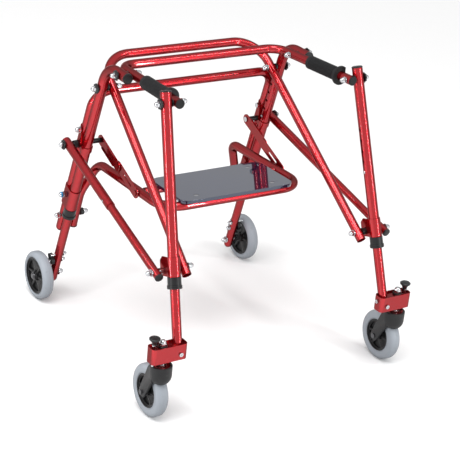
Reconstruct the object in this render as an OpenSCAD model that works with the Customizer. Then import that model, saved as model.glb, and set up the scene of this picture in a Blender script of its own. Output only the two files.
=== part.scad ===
// Folding posterior walker: four wheels, open front, flip-up seat and telescoping legs.
// Millimetres, Z up. X runs across the walker, the open side and the casters face -Y.

/* [Stance] */
// Diameter of all four wheels
wheel_d = 125; // [110:1:135]
// Width of the tyres
tyre_w = 30; // [24:1:32]
// Distance between the front and rear axles
wheelbase = 608; // [580:1:640]
// Spacing of the rear legs at axle height
rear_leg_spacing = 535; // [515:1:555]
// Spacing of the front legs at the caster housings
front_leg_spacing = 577; // [560:1:600]
// How far each caster wheel trails behind its stem
caster_trail = 36.6; // [31:0.1:38]
// Distance of each caster stem outboard of its leg
stem_offset = 39.5; // [37:0.5:43]
// Forward lean of the rear uprights in degrees
rear_lean = 16.9; // [14:0.1:18]
// Inward lean of the rear uprights in degrees
rear_splay = 1.5; // [0.5:0.1:2]
// Rearward lean of the front posts in degrees
front_lean = 18.4; // [16:0.1:19.5]
// Inward lean of the front posts in degrees
front_splay = 3.07; // [2:0.01:3.5]

/* [Heights] */
// Height of the forward stubs on top of the rear uprights
stub_h = 683; // [660:1:700]
// Height of the handlebar pivot on the front posts
handle_front_h = 692.5; // [670:0.5:705]
// Height of the upper frame pivot on the rear uprights
upper_pivot_h = 621.5; // [605:0.5:630]
// Height of the lower front pivot behind the posts
front_pivot_h = 337.5; // [325:0.5:350]
// Height of the strut pivot on the rear frame
strut_pivot_h = 455.5; // [450:0.5:462]
// Height of the rear crossbar
crossbar_h = 600; // [580:1:612]
// Height of the seat pivot
seat_pivot_h = 237; // [225:1:245]
// Height of the top of the front posts
post_top_h = 716; // [708:1:730]

/* [Tubes] */
// Outer diameter of the posts and uprights
post_d = 25.4; // [24:0.1:27]
// Outer diameter of the bent bars and strut sleeves
bar_d = 22.2; // [20:0.1:23]
// Wall thickness of all tubes
tube_wall = 1.4; // [1:0.1:1.8]
// Bend radius of the uprights
stub_bend_r = 62; // [50:1:75]
// Bend radius of the rear crossbar
cross_bend_r = 45; // [35:1:60]
// Bend radius of the upper frame
upper_bend_r = 75; // [55:1:90]
// Bend radius of the handlebar
handle_bend_r = 40; // [32:1:48]

/* [Folding] */
// Angle that the upper frame turns down when the walker is folded
fold_angle = 60; // [50:1:62]

/* [Leg adjustment] */
// Distance between the height holes
hole_pitch = 25.4; // [22:0.1:27]
// Number of height holes in each post
hole_count = 5; // [4:1:5]
// Diameter of the snap buttons
button_d = 6.6; // [5:0.1:8]

/* [Handlebar] */
// Position of the handlebar pivot along the stub
handle_rear_y = 48.5; // [44:0.5:54]
// Reach of the handlebar behind its rear pivot
handle_back = 63.5; // [58:0.5:75]
// Length of each hand grip
grip_len = 118; // [105:1:122]
// Diameter of each hand grip
grip_d = 33; // [30:0.5:35]
// Diameter of the grip's front flange
flange_d = 46; // [40:1:47]

/* [Seat] */
// Spacing of the seat arms
seat_w = 390.6; // [380:0.2:396]
// Width of the seat board
board_w = 312; // [290:1:330]
// Depth of the seat board
board_l = 161; // [145:1:170]
// Thickness of the seat board
board_t = 8; // [6:0.5:10]
// Corner radius of the seat board
board_r = 22; // [14:1:30]
// Upward tilt of the seat towards its front in degrees
seat_tilt = 2.2; // [1.5:0.1:2.8]

/* [Fasteners] */
// Diameter of the pivot bolts
bolt_d = 8; // [6:0.5:8]
// Thickness of the clamp and bracket sheet
sheet_t = 2.2; // [1.5:0.1:2.5]

/* [Hidden] */
$fn = 48;
// Radial gaps: sliding tubes, turning pins and fixed fits
slide_gap = 0.3;
run_gap = 0.06;
fix_gap = 0.05;
// Side gap between pieces that turn past each other
face_gap = 0.4;
wheel_r = wheel_d / 2;
axle_y = wheelbase / 2;
leg_x = rear_leg_spacing / 2;
foot_x = front_leg_spacing / 2;
leg_d = post_d - 2 * tube_wall - 2 * slide_gap;
rod_d = bar_d - 2 * tube_wall - 2 * slide_gap;
stem_x = foot_x + stem_offset;
stem_y = -axle_y - caster_trail;
// Caster housing: a tall channel around the foot of the front leg
housing_h = 38;
housing_z = wheel_d + 33;
housing_mid = housing_z + housing_h / 2;
housing_w = 32;
housing_t = 2.6;
web_t = 4;
web_z = housing_z + housing_h - 8;
// Lines of the rear uprights and front posts
function rear_x(z) = leg_x - tan(rear_splay) * (z - wheel_r);
function rear_y(z) = axle_y - tan(rear_lean) * (z - wheel_r);
function rear_pt(z) = [rear_x(z), rear_y(z), z];
function post_x(z) = foot_x - tan(front_splay) * (z - housing_mid);
function post_y(z) = stem_y + tan(front_lean) * (z - housing_mid);
function post_pt(z) = [post_x(z), post_y(z), z];
function unit(v) = v / norm(v);
rear_up = unit(rear_pt(1) - rear_pt(0));
post_up = unit(post_pt(1) - post_pt(0));
// The crossbar legs stand straight behind the uprights
pair = post_d / 2 + bar_d / 2 + 0.2;
function cross_pt(z) = rear_pt(z) + [0, pair / cos(rear_lean), 0];
function flip(p) = [-p[0], p[1], p[2]];
// Pivot points in the side view, x left at zero
piv_a = [0, handle_rear_y, stub_h];
piv_b = [0, rear_y(upper_pivot_h), upper_pivot_h];
piv_c = [0, post_y(handle_front_h), handle_front_h];
ear_back = post_d / 2 + bolt_d / 2 + 4.6;
piv_d = [0, post_y(front_pivot_h) + ear_back / cos(front_lean), front_pivot_h];
piv_e = [0, cross_pt(strut_pivot_h)[1], strut_pivot_h];
piv_s = [0, cross_pt(seat_pivot_h)[1], seat_pivot_h];
clamp_bolt_h = strut_pivot_h + 40;
lower_bolt_h = seat_pivot_h + 65;
// Spacers between the tubes at the pivots
spacer_a = 2.8;
spacer_b = 4.5;
spacer_c = 3.5;
spacer_d = 11.8;
spacer_e = 12;
spacer_f = 10.7;
spacer_s = 9.5;
arm_bx = rear_x(upper_pivot_h) - post_d / 2 - spacer_b - bar_d / 2;
arm_dx = post_x(front_pivot_h) - post_d / 2 - sheet_t - spacer_d - bar_d / 2;
handle_ax = rear_x(stub_h) - post_d / 2 - spacer_a - bar_d / 2;
handle_cx = post_x(handle_front_h) - post_d / 2 - spacer_c - bar_d / 2;
strut_ex = rear_x(strut_pivot_h) + bar_d / 2 + sheet_t + spacer_e + bar_d / 2;
strut_fx = post_x(front_pivot_h) + post_d / 2 + sheet_t + spacer_f + rod_d / 2;
pt_ba = [arm_bx, piv_b[1], piv_b[2]];
pt_da = [arm_dx, piv_d[1], piv_d[2]];
pt_ah = [handle_ax, piv_a[1], piv_a[2]];
pt_ch = [handle_cx, piv_c[1], piv_c[2]];
pt_es = [strut_ex, piv_e[1], piv_e[2]];
pt_fs = [strut_fx, piv_d[1], piv_d[2]];
upper_dir = unit(pt_ba - pt_da);
upper_rise = 87;
upper_tail = 22;
handle_dir = unit(pt_ch - pt_ah);
handle_nose = 13;
strut_dir = unit(pt_fs - pt_es);
strut_len = norm(pt_fs - pt_es);
// The strut pin leans a little so that the strut also ends in line when folded
fold_d = piv_b + [0, cos(fold_angle) * (piv_d - piv_b)[1] - sin(fold_angle) * (piv_d - piv_b)[2],
  sin(fold_angle) * (piv_d - piv_b)[1] + cos(fold_angle) * (piv_d - piv_b)[2]];
strut_pin = unit(cross(pt_fs - pt_es, fold_d + [strut_fx, 0, 0] - pt_es));
// Where the pin's line passes the crossbar leg
pin_root = pt_es - strut_pin * ((strut_ex - rear_x(strut_pivot_h)) / strut_pin[0]);
sleeve_len = strut_len * 0.51;
sleeve_tail = 15;
rod_start = strut_len * 0.4;
rod_tail = 18;
// Lower ends of the outer tubes
upright_foot_h = seat_pivot_h + 18;
cross_foot_h = seat_pivot_h - 38;
post_foot_h = front_pivot_h - 19.5;
collar_d = post_d + 6;
collar_len = 26;
collar_cup = 14;
// Height holes and snap buttons
rear_button_h = strut_pivot_h + 16.5;
post_button_h = front_pivot_h + 143.5;
hole_d = button_d + 0.7;
leg_top_margin = 14;
stub_end_y = handle_rear_y - 28;
// Rear wheels
axle_d = 10;
rear_hub_r = wheel_r * 0.76;
front_hub_r = wheel_r * 0.64;
rear_wheel_x = leg_x + leg_d / 2 + 16.5 + tyre_w / 2;
tyre_round = tyre_w * 0.38;
hub_w = tyre_w - 3;
boss_r = 12;
// Casters
stem_d = 12;
fork_gap = 2.5;
fork_arm_t = 6;
fork_in = tyre_w / 2 + fork_gap;
fork_out = fork_in + fork_arm_t;
fork_top = housing_z - 11;
fork_low = wheel_d + 5;
fork_head_r = 26;
// Recess for the index disc on top of the fork
index_deep = 3;
pin_reach = 21.5;
pin_d = 8;
front_axle_d = 8;
// Seat
arm_x = seat_w / 2;
seat_leg_x = rear_x(seat_pivot_h) - bar_d / 2 - sheet_t - spacer_s - bar_d / 2;
seat_rear_h = seat_pivot_h + 146.5;
seat_rear = [arm_x, cross_pt(seat_rear_h)[1], seat_rear_h];
seat_reach = 322;
seat_front = seat_rear + [0, -seat_reach * cos(seat_tilt), seat_reach * sin(seat_tilt)];
seat_bend_r = 40;
seat_corner_r = 57;
jog_h = seat_pivot_h + 63;
seat_leg_low = seat_pivot_h - 37;
stay_reach = 208;
stud_back = 15.3;
piv_g = [0, seat_rear[1] - stay_reach * cos(seat_tilt), seat_rear[2] + stay_reach * sin(seat_tilt)];
piv_k = [0, rear_y(strut_pivot_h + 4.5) + stud_back, strut_pivot_h + 4.5];
piv_m = (piv_g + piv_k) / 2;
stay_len = norm(piv_g - piv_k);
stay_w = 26;
stay_t = 2.6;
low_stay_x = arm_x + bar_d / 2 + 0.6;
up_stay_x = low_stay_x + stay_t + face_gap;
stay_pin_d = 8;

red = [0.72, 0.09, 0.12];
black = [0.07, 0.07, 0.075];
chrome = [0.8, 0.8, 0.82];
grey = [0.62, 0.65, 0.68];
charcoal = [0.2, 0.2, 0.21];

// Placing helpers

// Turns +Z to the given direction and keeps the local X near the walker's X where it can
module align(o, z) {
  zz = unit(z);
  x = abs(zz[0]) > 0.9 ? [0, 0, -1] : [1, 0, 0];
  yy = unit(cross(zz, x));
  xx = cross(yy, zz);
  multmatrix([[xx[0], yy[0], zz[0], o[0]], [xx[1], yy[1], zz[1], o[1]],
    [xx[2], yy[2], zz[2], o[2]], [0, 0, 0, 1]]) children();
}

module sides() {
  children();
  mirror([1, 0, 0]) children();
}

module pin(x0, x1, p, d) {
  translate([x0, p[1], p[2]]) rotate([0, 90, 0]) cylinder(h = x1 - x0, d = d);
}

module ring(x0, x1, p, d, bore) {
  translate([x0, p[1], p[2]]) rotate([0, 90, 0]) difference() {
    cylinder(h = x1 - x0, d = d);
    translate([0, 0, -1]) cylinder(h = x1 - x0 + 2, d = bore);
  }
}

// Section of a tube, the wall thinner by the trim on each side
module tube_section(d, trim = 0) {
  difference() {
    circle(d = d - 2 * trim);
    circle(d = d - 2 * tube_wall + 2 * trim);
  }
}

// Each bend runs this far inside the straights beside it, with a slightly thinner wall
bend_lap = 1.5;
bend_trim = 0.06;

// Bent tube through the points, with one radius for each inner point
module path_tube(pts, radii, d) {
  n = len(pts);
  turn = [for (i = [1:n - 2]) acos(unit(pts[i] - pts[i - 1]) * unit(pts[i + 1] - pts[i]))];
  cut = [for (i = [0:n - 1]) (i == 0 || i == n - 1) ? 0 : radii[i - 1] * tan(turn[i - 1] / 2)];
  for (i = [0:n - 2]) {
    u = unit(pts[i + 1] - pts[i]);
    run = norm(pts[i + 1] - pts[i]) - cut[i] - cut[i + 1];
    align(pts[i] + u * cut[i], u) linear_extrude(run) tube_section(d);
  }
  for (i = [1:n - 2]) {
    u = unit(pts[i] - pts[i - 1]);
    v = unit(pts[i + 1] - pts[i]);
    inward = unit(v - (u * v) * u);
    centre = pts[i] - u * cut[i] + inward * radii[i - 1];
    w = cross(u, inward);
    multmatrix([[-inward[0], u[0], w[0], centre[0]], [-inward[1], u[1], w[1], centre[1]],
      [-inward[2], u[2], w[2], centre[2]], [0, 0, 0, 1]])
      rotate([0, 0, -bend_lap * 180 / (PI * radii[i - 1])])
        rotate_extrude(angle = turn[i - 1] + 2 * bend_lap * 180 / (PI * radii[i - 1]))
          translate([radii[i - 1], 0]) tube_section(d, bend_trim);
  }
}

module straight_tube(p, q, d) {
  align(p, q - p) difference() {
    cylinder(h = norm(q - p), d = d);
    translate([0, 0, -1]) cylinder(h = norm(q - p) + 2, d = d - 2 * tube_wall);
  }
}

// Rounded plate with true arcs at its corners
module round_rect(w, l, r) {
  square([w - 2 * r, l], center = true);
  square([w, l - 2 * r], center = true);
  for (i = [-1, 1], j = [-1, 1])
    translate([i * (w / 2 - r), j * (l / 2 - r)]) circle(r);
}

// Washer, hexagon and dome standing on z = 0
module dome_nut(d, washer) {
  cylinder(h = 1.4, d = washer);
  cylinder(h = d * 0.8 + 1.4, d = d * 1.75, $fn = 6);
  translate([0, 0, d * 0.8 + 1.4]) rotate_extrude() intersection() {
    circle(d = d * 1.5);
    square(d);
  }
}

module dome_out(x, p, d, washer) {
  translate([x, p[1], p[2]]) rotate([0, 90, 0]) dome_nut(d, washer);
}

module dome_in(x, p, d, washer) {
  translate([x, p[1], p[2]]) rotate([0, -90, 0]) dome_nut(d, washer);
}

module height_holes(base, up, first) {
  for (i = [0:hole_count - 1])
    align(base + up * (first + i * hole_pitch), up)
      rotate([0, -90, 0]) cylinder(h = post_d, d = hole_d);
}

// Height of the first hole above the given axis point
rear_button_s = (rear_button_h - wheel_r) / rear_up[2];
post_button_s = (post_button_h - housing_mid) / post_up[2];

// Rear frame

module rear_uprights() {
  color(red) sides() difference() {
    path_tube([rear_pt(upright_foot_h), rear_pt(stub_h), [rear_x(stub_h), stub_end_y, stub_h]],
      [stub_bend_r], post_d);
    pin(rear_x(stub_h) - post_d, rear_x(stub_h) + post_d, piv_a, bolt_d + 2 * fix_gap);
    pin(rear_x(upper_pivot_h) - post_d, rear_x(upper_pivot_h) + post_d, piv_b, bolt_d + 2 * fix_gap);
    height_holes(rear_pt(wheel_r), rear_up, rear_button_s);
  }
}

module strut_pin_bore(d, half) {
  align(pin_root - strut_pin * half, strut_pin)
    cylinder(h = 2 * half, d = d);
}

module rear_crossbar() {
  color(red) difference() {
    union() {
      path_tube([cross_pt(cross_foot_h), cross_pt(crossbar_h), flip(cross_pt(crossbar_h)),
        flip(cross_pt(cross_foot_h))], [cross_bend_r, cross_bend_r], bar_d);
      sides() translate(cross_pt(cross_foot_h)) sphere(d = bar_d - 0.3);
    }
    sides() {
      for (h = [clamp_bolt_h, lower_bolt_h, seat_pivot_h])
        pin(rear_x(h) - bar_d, rear_x(h) + bar_d, cross_pt(h), bolt_d + 2 * fix_gap);
      strut_pin_bore(bolt_d + 2 * fix_gap, bar_d);
    }
  }
}

// Section of a sheet strap around an upright and the bar behind it
module strap_section() {
  r1 = post_d / 2 + strap_gap + sheet_t;
  r2 = bar_d / 2 + strap_gap + sheet_t;
  difference() {
    union() {
      circle(r1);
      translate([0, pair]) circle(r2);
      polygon([[r1 - 0.1, 0], [r2 - 0.1, pair], [0.1 - r2, pair], [0.1 - r1, 0]]);
    }
    circle(post_d / 2 + strap_gap);
    translate([0, pair]) circle(bar_d / 2 + strap_gap);
  }
}

strap_gap = 0.2;
clamp_low_h = strut_pivot_h - 12;
clamp_len = 56;
clamp_step = 14;
bracket_low_h = upright_foot_h + collar_cup + 1;
bracket_len = 56;

module frame_clamps() {
  color(red) sides() {
    difference() {
      align(rear_pt(clamp_low_h), rear_up) difference() {
        linear_extrude(clamp_len) strap_section();
        rotate([90, 0, 90]) linear_extrude(3 * post_d, center = true)
          polygon([[-post_d, clamp_len + 1], [-post_d, clamp_step], [post_d / 4, clamp_step],
            [pair * 0.9, clamp_len + 1]]);
      }
      pin(rear_x(clamp_bolt_h) - post_d, rear_x(clamp_bolt_h) + post_d, cross_pt(clamp_bolt_h),
        bolt_d + 2 * fix_gap);
      strut_pin_bore(bolt_d + 2 * fix_gap, post_d);
    }
    difference() {
      align(rear_pt(bracket_low_h), rear_up) linear_extrude(bracket_len) strap_section();
      pin(rear_x(lower_bolt_h) - post_d, rear_x(lower_bolt_h) + post_d, cross_pt(lower_bolt_h),
        bolt_d + 2 * fix_gap);
    }
  }
}

// Cup under an outer tube that guides the sliding leg
module guide_collar(o, up) {
  align(o, up) difference() {
    union() {
      translate([0, 0, -collar_len + collar_cup]) cylinder(h = collar_len, d = collar_d);
      translate([0, 0, -collar_len + collar_cup]) cylinder(h = 7, d = collar_d + 3);
    }
    cylinder(h = collar_len, d = post_d + 2 * fix_gap);
    translate([0, 0, -collar_len]) cylinder(h = 3 * collar_len, d = leg_d + 2 * run_gap);
  }
}

// Plug with a low head for an open tube end, head along +Z
module end_plug(d, deep = 12) {
  translate([0, 0, -deep]) cylinder(h = deep, d = d - 2 * tube_wall - 2 * fix_gap);
  cylinder(h = 2.5, d = d + 0.6);
  translate([0, 0, 2.5]) cylinder(h = plug_head - 2.5, d1 = d + 0.6, d2 = d - 5);
}

knob_x = seat_leg_x - bar_d / 2 - 0.4;

knob_t = 9;

module seat_knob() {
  ring(knob_x - knob_t, knob_x, piv_s, 18, bolt_d + 2 * fix_gap);
}

clamp_in_x = rear_x(piv_k[2]) - post_d / 2 - 0.1 - sheet_t
  + (post_d - bar_d) / 2 * stud_back * cos(rear_lean) / pair - 0.4;

module rear_frame_trim() {
  bore = bolt_d + 2 * fix_gap;
  x_a = rear_x(stub_h);
  x_b = rear_x(upper_pivot_h);
  color(black) sides() {
    difference() {
      guide_collar(rear_pt(upright_foot_h), rear_up);
      align(rear_pt(upright_foot_h), rear_up) translate([0, pair, -2 * collar_len])
        cylinder(h = 4 * collar_len, d = bar_d + 2 * slide_gap);
    }
    translate([x_a, stub_end_y, stub_h]) rotate([90, 0, 0]) end_plug(post_d);
    ring(x_a - post_d / 2 - spacer_a + face_gap, x_a - post_d / 2 - 0.25, piv_a, 15, bore);
    ring(x_b - post_d / 2 - spacer_b + face_gap, x_b - post_d / 2 - 0.25, piv_b, 16, bore);
    ring(x_a + post_d / 2 + 0.25, x_a + post_d / 2 + 3, piv_a, 18, bore);
    ring(x_b + post_d / 2 + 0.25, x_b + post_d / 2 + 3, piv_b, 18, bore);
    align(pin_root + strut_pin * (bar_d / 2 + sheet_t + 1.4), strut_pin)
      difference() {
        cylinder(h = spacer_e - 2.2, d1 = 20, d2 = 17);
        translate([0, 0, -1]) cylinder(h = spacer_e + 2, d = bore);
      }
    ring(seat_leg_x + bar_d / 2 + face_gap, rear_x(seat_pivot_h) - bar_d / 2 - 0.3, piv_s, 18, bore);
    ring(up_stay_x + stay_t + face_gap, clamp_in_x, piv_k, stay_pin_d + 4.4, stay_pin_d + 2 * fix_gap);
    seat_knob();
  }
}

module rear_frame_bolts() {
  x_a = rear_x(stub_h);
  x_b = rear_x(upper_pivot_h);
  color(chrome) sides() {
    pin(handle_ax - bar_d / 2 - face_gap - 1, x_a + post_d / 2 + 4, piv_a, bolt_d);
    dome_out(x_a + post_d / 2 + 3, piv_a, bolt_d, 14);
    dome_in(handle_ax - bar_d / 2 - face_gap, piv_a, bolt_d, 15);
    pin(arm_bx - bar_d / 2 - face_gap - 1, x_b + post_d / 2 + 4, piv_b, bolt_d);
    dome_out(x_b + post_d / 2 + 3, piv_b, bolt_d, 14);
    dome_in(arm_bx - bar_d / 2 - face_gap, piv_b, bolt_d, 15);
    align(pin_root - strut_pin * (bar_d / 2 + sheet_t + 1.4), strut_pin) {
      cylinder(h = 2 * bar_d + 2 * sheet_t + spacer_e + 4, d = bolt_d);
      translate([0, 0, 2 * bar_d + 2 * sheet_t + spacer_e + 1.8 + face_gap]) dome_nut(bolt_d, 17);
      mirror([0, 0, 1]) cylinder(h = 4, d = bolt_d + 3);
    }
    for (h = [clamp_bolt_h, lower_bolt_h]) {
      half = bar_d / 2 + strap_gap + sheet_t + 0.8;
      pin(rear_x(h) - half - 1, rear_x(h) + half + 1, cross_pt(h), bolt_d);
      dome_out(rear_x(h) + half, cross_pt(h), bolt_d, 15);
      translate([rear_x(h) - half, cross_pt(h)[1], h]) rotate([0, -90, 0])
        cylinder(h = 5.5, d = bolt_d * 1.75, $fn = 6);
    }
    pin(knob_x - knob_t - 1, rear_x(seat_pivot_h) + bar_d / 2 + 1, piv_s, bolt_d);
    dome_in(knob_x - knob_t - 0.3, piv_s, bolt_d, 13);
    dome_out(rear_x(seat_pivot_h) + bar_d / 2 + 0.3, piv_s, bolt_d, 16);
    pin(low_stay_x + stay_t + face_gap - 2, clamp_in_x, piv_k, stay_pin_d);
    translate([up_stay_x - face_gap, piv_k[1], piv_k[2]]) rotate([0, -90, 0])
      cylinder(h = 2.4, d = 13);
  }
}

// Rear legs and wheels

module rear_leg() {
  low = 17;
  top = rear_button_s + leg_top_margin;
  base = rear_pt(wheel_r);
  color(red) difference() {
    union() {
      straight_tube(base - rear_up * low, base + rear_up * top, leg_d);
      translate(base - rear_up * low) sphere(d = leg_d - 0.3);
    }
    pin(leg_x - leg_d, leg_x + leg_d, base, axle_d + 2 * fix_gap);
    for (h = pawl_hs)
      pin(rear_x(h) - leg_d, rear_x(h) + leg_d, rear_pt(h), pawl_pin_d + 2 * fix_gap);
    align(base + rear_up * rear_button_s, rear_up)
      rotate([0, -90, 0]) cylinder(h = post_d, d = hole_d);
  }
}

pawl_pin_d = 6;
pawl_hs = [wheel_r + 41, wheel_r + 59];
rear_in_x = rear_wheel_x - tyre_w / 2;

module rear_leg_bolts() {
  base = rear_pt(wheel_r);
  color(chrome) {
    pin(leg_x - leg_d / 2 - 2, rear_wheel_x + tyre_w / 2 + 1, base, axle_d);
    dome_in(leg_x - leg_d / 2 - 0.4, base, bolt_d, 18);
    ring(leg_x + leg_d / 2 + 0.3, rear_in_x - face_gap, base, 17, axle_d - 0.2);
    translate([rear_wheel_x + tyre_w / 2 + face_gap, base[1], base[2]]) rotate([0, 90, 0]) {
      cylinder(h = 1.4, d = 19);
      cylinder(h = 4, d = 13);
    }
    for (h = pawl_hs) {
      pin(rear_x(h) - leg_d / 2 - 1, rear_x(h) + leg_d / 2 + 12, rear_pt(h), pawl_pin_d);
      dome_in(rear_x(h) - leg_d / 2 - 0.3, rear_pt(h), pawl_pin_d, 13);
    }
    translate([rear_x(pawl_hs[0]) + leg_d / 2 + 12, rear_y(pawl_hs[0]), pawl_hs[0]])
      rotate([0, 90, 0]) cylinder(h = 2, d = 11);
  }
}

// Snap button with its spring leaf inside a leg, button along +X of the local frame
module snap_button(inner_d, reach) {
  cylinder_back = inner_d / 2 - 1.8;
  rotate([0, 90, 0]) {
    translate([0, 0, cylinder_back - 0.5]) cylinder(h = reach - cylinder_back, d = button_d);
    translate([0, 0, reach - 0.5]) rotate_extrude() intersection() {
      scale([1, 0.6]) circle(d = button_d);
      square(button_d);
    }
  }
  translate([cylinder_back - 0.7, -3.5, -34]) cube([0.7, 7, 38]);
  translate([-cylinder_back + 4.8, -3.5, -34]) cube([0.7, 7, 24]);
  translate([-cylinder_back + 4.8, -3.5, -34.7]) cube([2 * cylinder_back - 4.8, 7, 0.8]);
}

module rear_leg_button() {
  color(chrome) align(rear_pt(wheel_r) + rear_up * rear_button_s, rear_up)
    rotate([0, 0, 180]) snap_button(leg_d - 2 * tube_wall, post_d / 2 + 0.8);
}

// Pawl that hangs on the upper cross pin and drops against the tyre
module reverse_pawl() {
  x0 = rear_x(pawl_hs[0]) + leg_d / 2 + 0.6;
  p = rear_pt(pawl_hs[0]);
  w = 9;
  color(black) translate([x0, p[1], p[2]]) rotate([0, 90, 0]) difference() {
    union() {
      cylinder(h = w, d = 20);
      rotate([0, 0, 150]) translate([0, -6, 0]) cube([14, 12, w]);
      rotate([0, 0, 150]) translate([14, 0, 0]) cylinder(h = w, d = 12);
    }
    translate([0, 0, -1]) cylinder(h = w + 2, d = pawl_pin_d + 2 * run_gap);
  }
}

module tyre_at(x, y, hub_r) {
  wall = wheel_r - tyre_round;
  color(grey) translate([x, y, wheel_r]) rotate([0, 90, 0]) rotate_extrude($fn = 96) intersection() {
    union() {
      translate([0, -tyre_w / 2]) square([wall, tyre_w]);
      translate([0, -tyre_w / 2 + tyre_round]) square([wheel_r, tyre_w - 2 * tyre_round]);
      for (i = [-1, 1]) translate([wall, i * (tyre_w / 2 - tyre_round)]) circle(tyre_round);
    }
    translate([hub_r + fix_gap, -tyre_w]) square([wheel_r, 2 * tyre_w]);
  }
}

// Recessed spoked hub on a plain bore
module hub_at(x, y, bore, hub_r) {
  spokes = 6;
  web = 4;
  boss = tyre_w - 1;
  color(black) translate([x, y, wheel_r]) rotate([0, 90, 0]) difference() {
    union() {
      difference() {
        cylinder(h = hub_w, r = hub_r, center = true, $fn = 96);
        cylinder(h = hub_w + 2, r = hub_r - 5, center = true, $fn = 96);
      }
      translate([0, 0, -hub_w / 4]) cylinder(h = web, r = hub_r - 4, center = true, $fn = 96);
      cylinder(h = boss, r = boss_r, center = true);
      for (i = [0:spokes - 1]) rotate([0, 0, i * 360 / spokes])
        translate([boss_r - 2, -2.5, -hub_w / 2 + 2]) cube([hub_r - boss_r - 1, 5, hub_w - 4]);
    }
    cylinder(h = boss + 2, d = bore, center = true);
  }
}

module rear_tyre() {
  tyre_at(rear_wheel_x, axle_y, rear_hub_r);
}

module front_tyre() {
  tyre_at(stem_x, -axle_y, front_hub_r);
}

module rear_hub() {
  hub_at(rear_wheel_x, axle_y, axle_d + 2 * run_gap, rear_hub_r);
}

module front_hub() {
  hub_at(stem_x, -axle_y, front_axle_d + 2 * run_gap, front_hub_r);
}

// Upper frame and handlebar

upper_top = pt_ba + upper_dir * upper_rise;
upper_end = pt_da - upper_dir * upper_tail;

module upper_frame() {
  color(red) difference() {
    path_tube([upper_end, upper_top, flip(upper_top), flip(upper_end)], [upper_bend_r, upper_bend_r],
      bar_d);
    sides() {
      pin(arm_bx - bar_d, arm_bx + bar_d, piv_b, bolt_d + 2 * run_gap);
      pin(arm_dx - bar_d, arm_dx + bar_d, piv_d, bolt_d + 2 * run_gap);
    }
  }
}

handle_rear = pt_ah - handle_dir * handle_back;
handle_tip = pt_ch + handle_dir * handle_nose;
plug_head = 4;
flange_at = norm(pt_ch - pt_ah) - 36;
// The flange has a flat where the post's crown swings past
crown_x = post_x(post_top_h) - post_d / 2 - 1.3;

module handlebar() {
  color(red) difference() {
    path_tube([handle_tip, handle_rear, flip(handle_rear), flip(handle_tip)],
      [handle_bend_r, handle_bend_r], bar_d);
    sides() {
      pin(handle_ax - bar_d, handle_ax + bar_d, piv_a, bolt_d + 2 * run_gap);
      pin(handle_cx - bar_d, handle_cx + bar_d, piv_c, bolt_d + 2 * fix_gap);
    }
  }
}

module handlebar_grips() {
  r0 = bar_d / 2 + fix_gap;
  grip_start = pt_ah + handle_dir * (flange_at - grip_len + 6);
  ribs = 14;
  pitch = (grip_len - 20) / ribs;
  color(black) sides() {
    align(grip_start, handle_dir) rotate_extrude() {
      translate([r0, 0]) square([grip_d / 2 - r0 - 1.2, grip_len]);
      translate([r0, 0]) square([grip_d / 2 - r0, 5]);
      for (i = [0:ribs - 1])
        translate([r0, 8 + i * pitch]) square([grip_d / 2 - r0, pitch * 0.55]);
    }
    difference() {
      align(grip_start + handle_dir * (grip_len - 6.5), handle_dir) rotate_extrude()
        polygon([[grip_d / 2 - 3, 0], [flange_d / 2 - 1.5, 0], [flange_d / 2, 1.5], [flange_d / 2, 4.5],
          [flange_d / 2 - 1.5, 6], [grip_d / 2 - 3, 6]]);
      translate([crown_x, -axle_y, 0]) cube([flange_d, wheelbase, 2 * stub_h]);
    }
    align(handle_tip, handle_dir) end_plug(bar_d - 0.8, 7);
  }
}

module handlebar_nuts() {
  color(chrome) sides() {
    dome_in(handle_cx - bar_d / 2 - 0.4, piv_c, bolt_d, 15);
    pin(handle_cx - bar_d / 2 - 1, handle_cx + bar_d / 2 - 0.3, piv_c, bolt_d);
  }
}

// Front posts

module front_post() {
  color(red) difference() {
    straight_tube(post_pt(post_foot_h), post_pt(post_top_h), post_d);
    pin(post_x(handle_front_h) - post_d, post_x(handle_front_h) + post_d, piv_c, bolt_d + 2 * fix_gap);
    height_holes(post_pt(housing_mid), post_up, post_button_s);
  }
}

bracket_h = 44;
bracket_drop = 5.5;
ear_len = ear_back + 13;

module post_bracket() {
  r = post_d / 2 + 0.1;
  color(red) difference() {
    align(post_pt(front_pivot_h), post_up) translate([0, 0, -bracket_drop]) difference() {
      linear_extrude(bracket_h) difference() {
        union() {
          circle(r + sheet_t);
          translate([-r - sheet_t, 0]) square([2 * r + 2 * sheet_t, ear_len]);
        }
        circle(r);
        translate([-r, 0]) square([2 * r, ear_len + 1]);
      }
      for (z = [0, bracket_h]) translate([0, ear_len, z]) rotate([45, 0, 0])
        cube([3 * post_d, 14, 14], center = true);
    }
    pin(post_x(front_pivot_h) - 2 * post_d, post_x(front_pivot_h) + 2 * post_d, piv_d,
      bolt_d + 2 * fix_gap);
  }
}

ear_in = post_x(front_pivot_h) - post_d / 2 - 0.1 - sheet_t;
ear_out = post_x(front_pivot_h) + post_d / 2 + 0.1 + sheet_t;

module front_post_trim() {
  bore = bolt_d + 2 * fix_gap;
  x_c = post_x(handle_front_h);
  color(black) {
    guide_collar(post_pt(post_foot_h), post_up);
    align(post_pt(post_top_h), post_up) end_plug(post_d);
    ring(x_c - post_d / 2 - spacer_c + face_gap + 0.6, x_c - post_d / 2 - 0.5, piv_c, 17, bore);
    ring(x_c + post_d / 2 + 0.5, x_c + post_d / 2 + 3, piv_c, 18, bore);
    ring(arm_dx + bar_d / 2 + face_gap, ear_in - 1, piv_d, 17, bore);
  }
}

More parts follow.
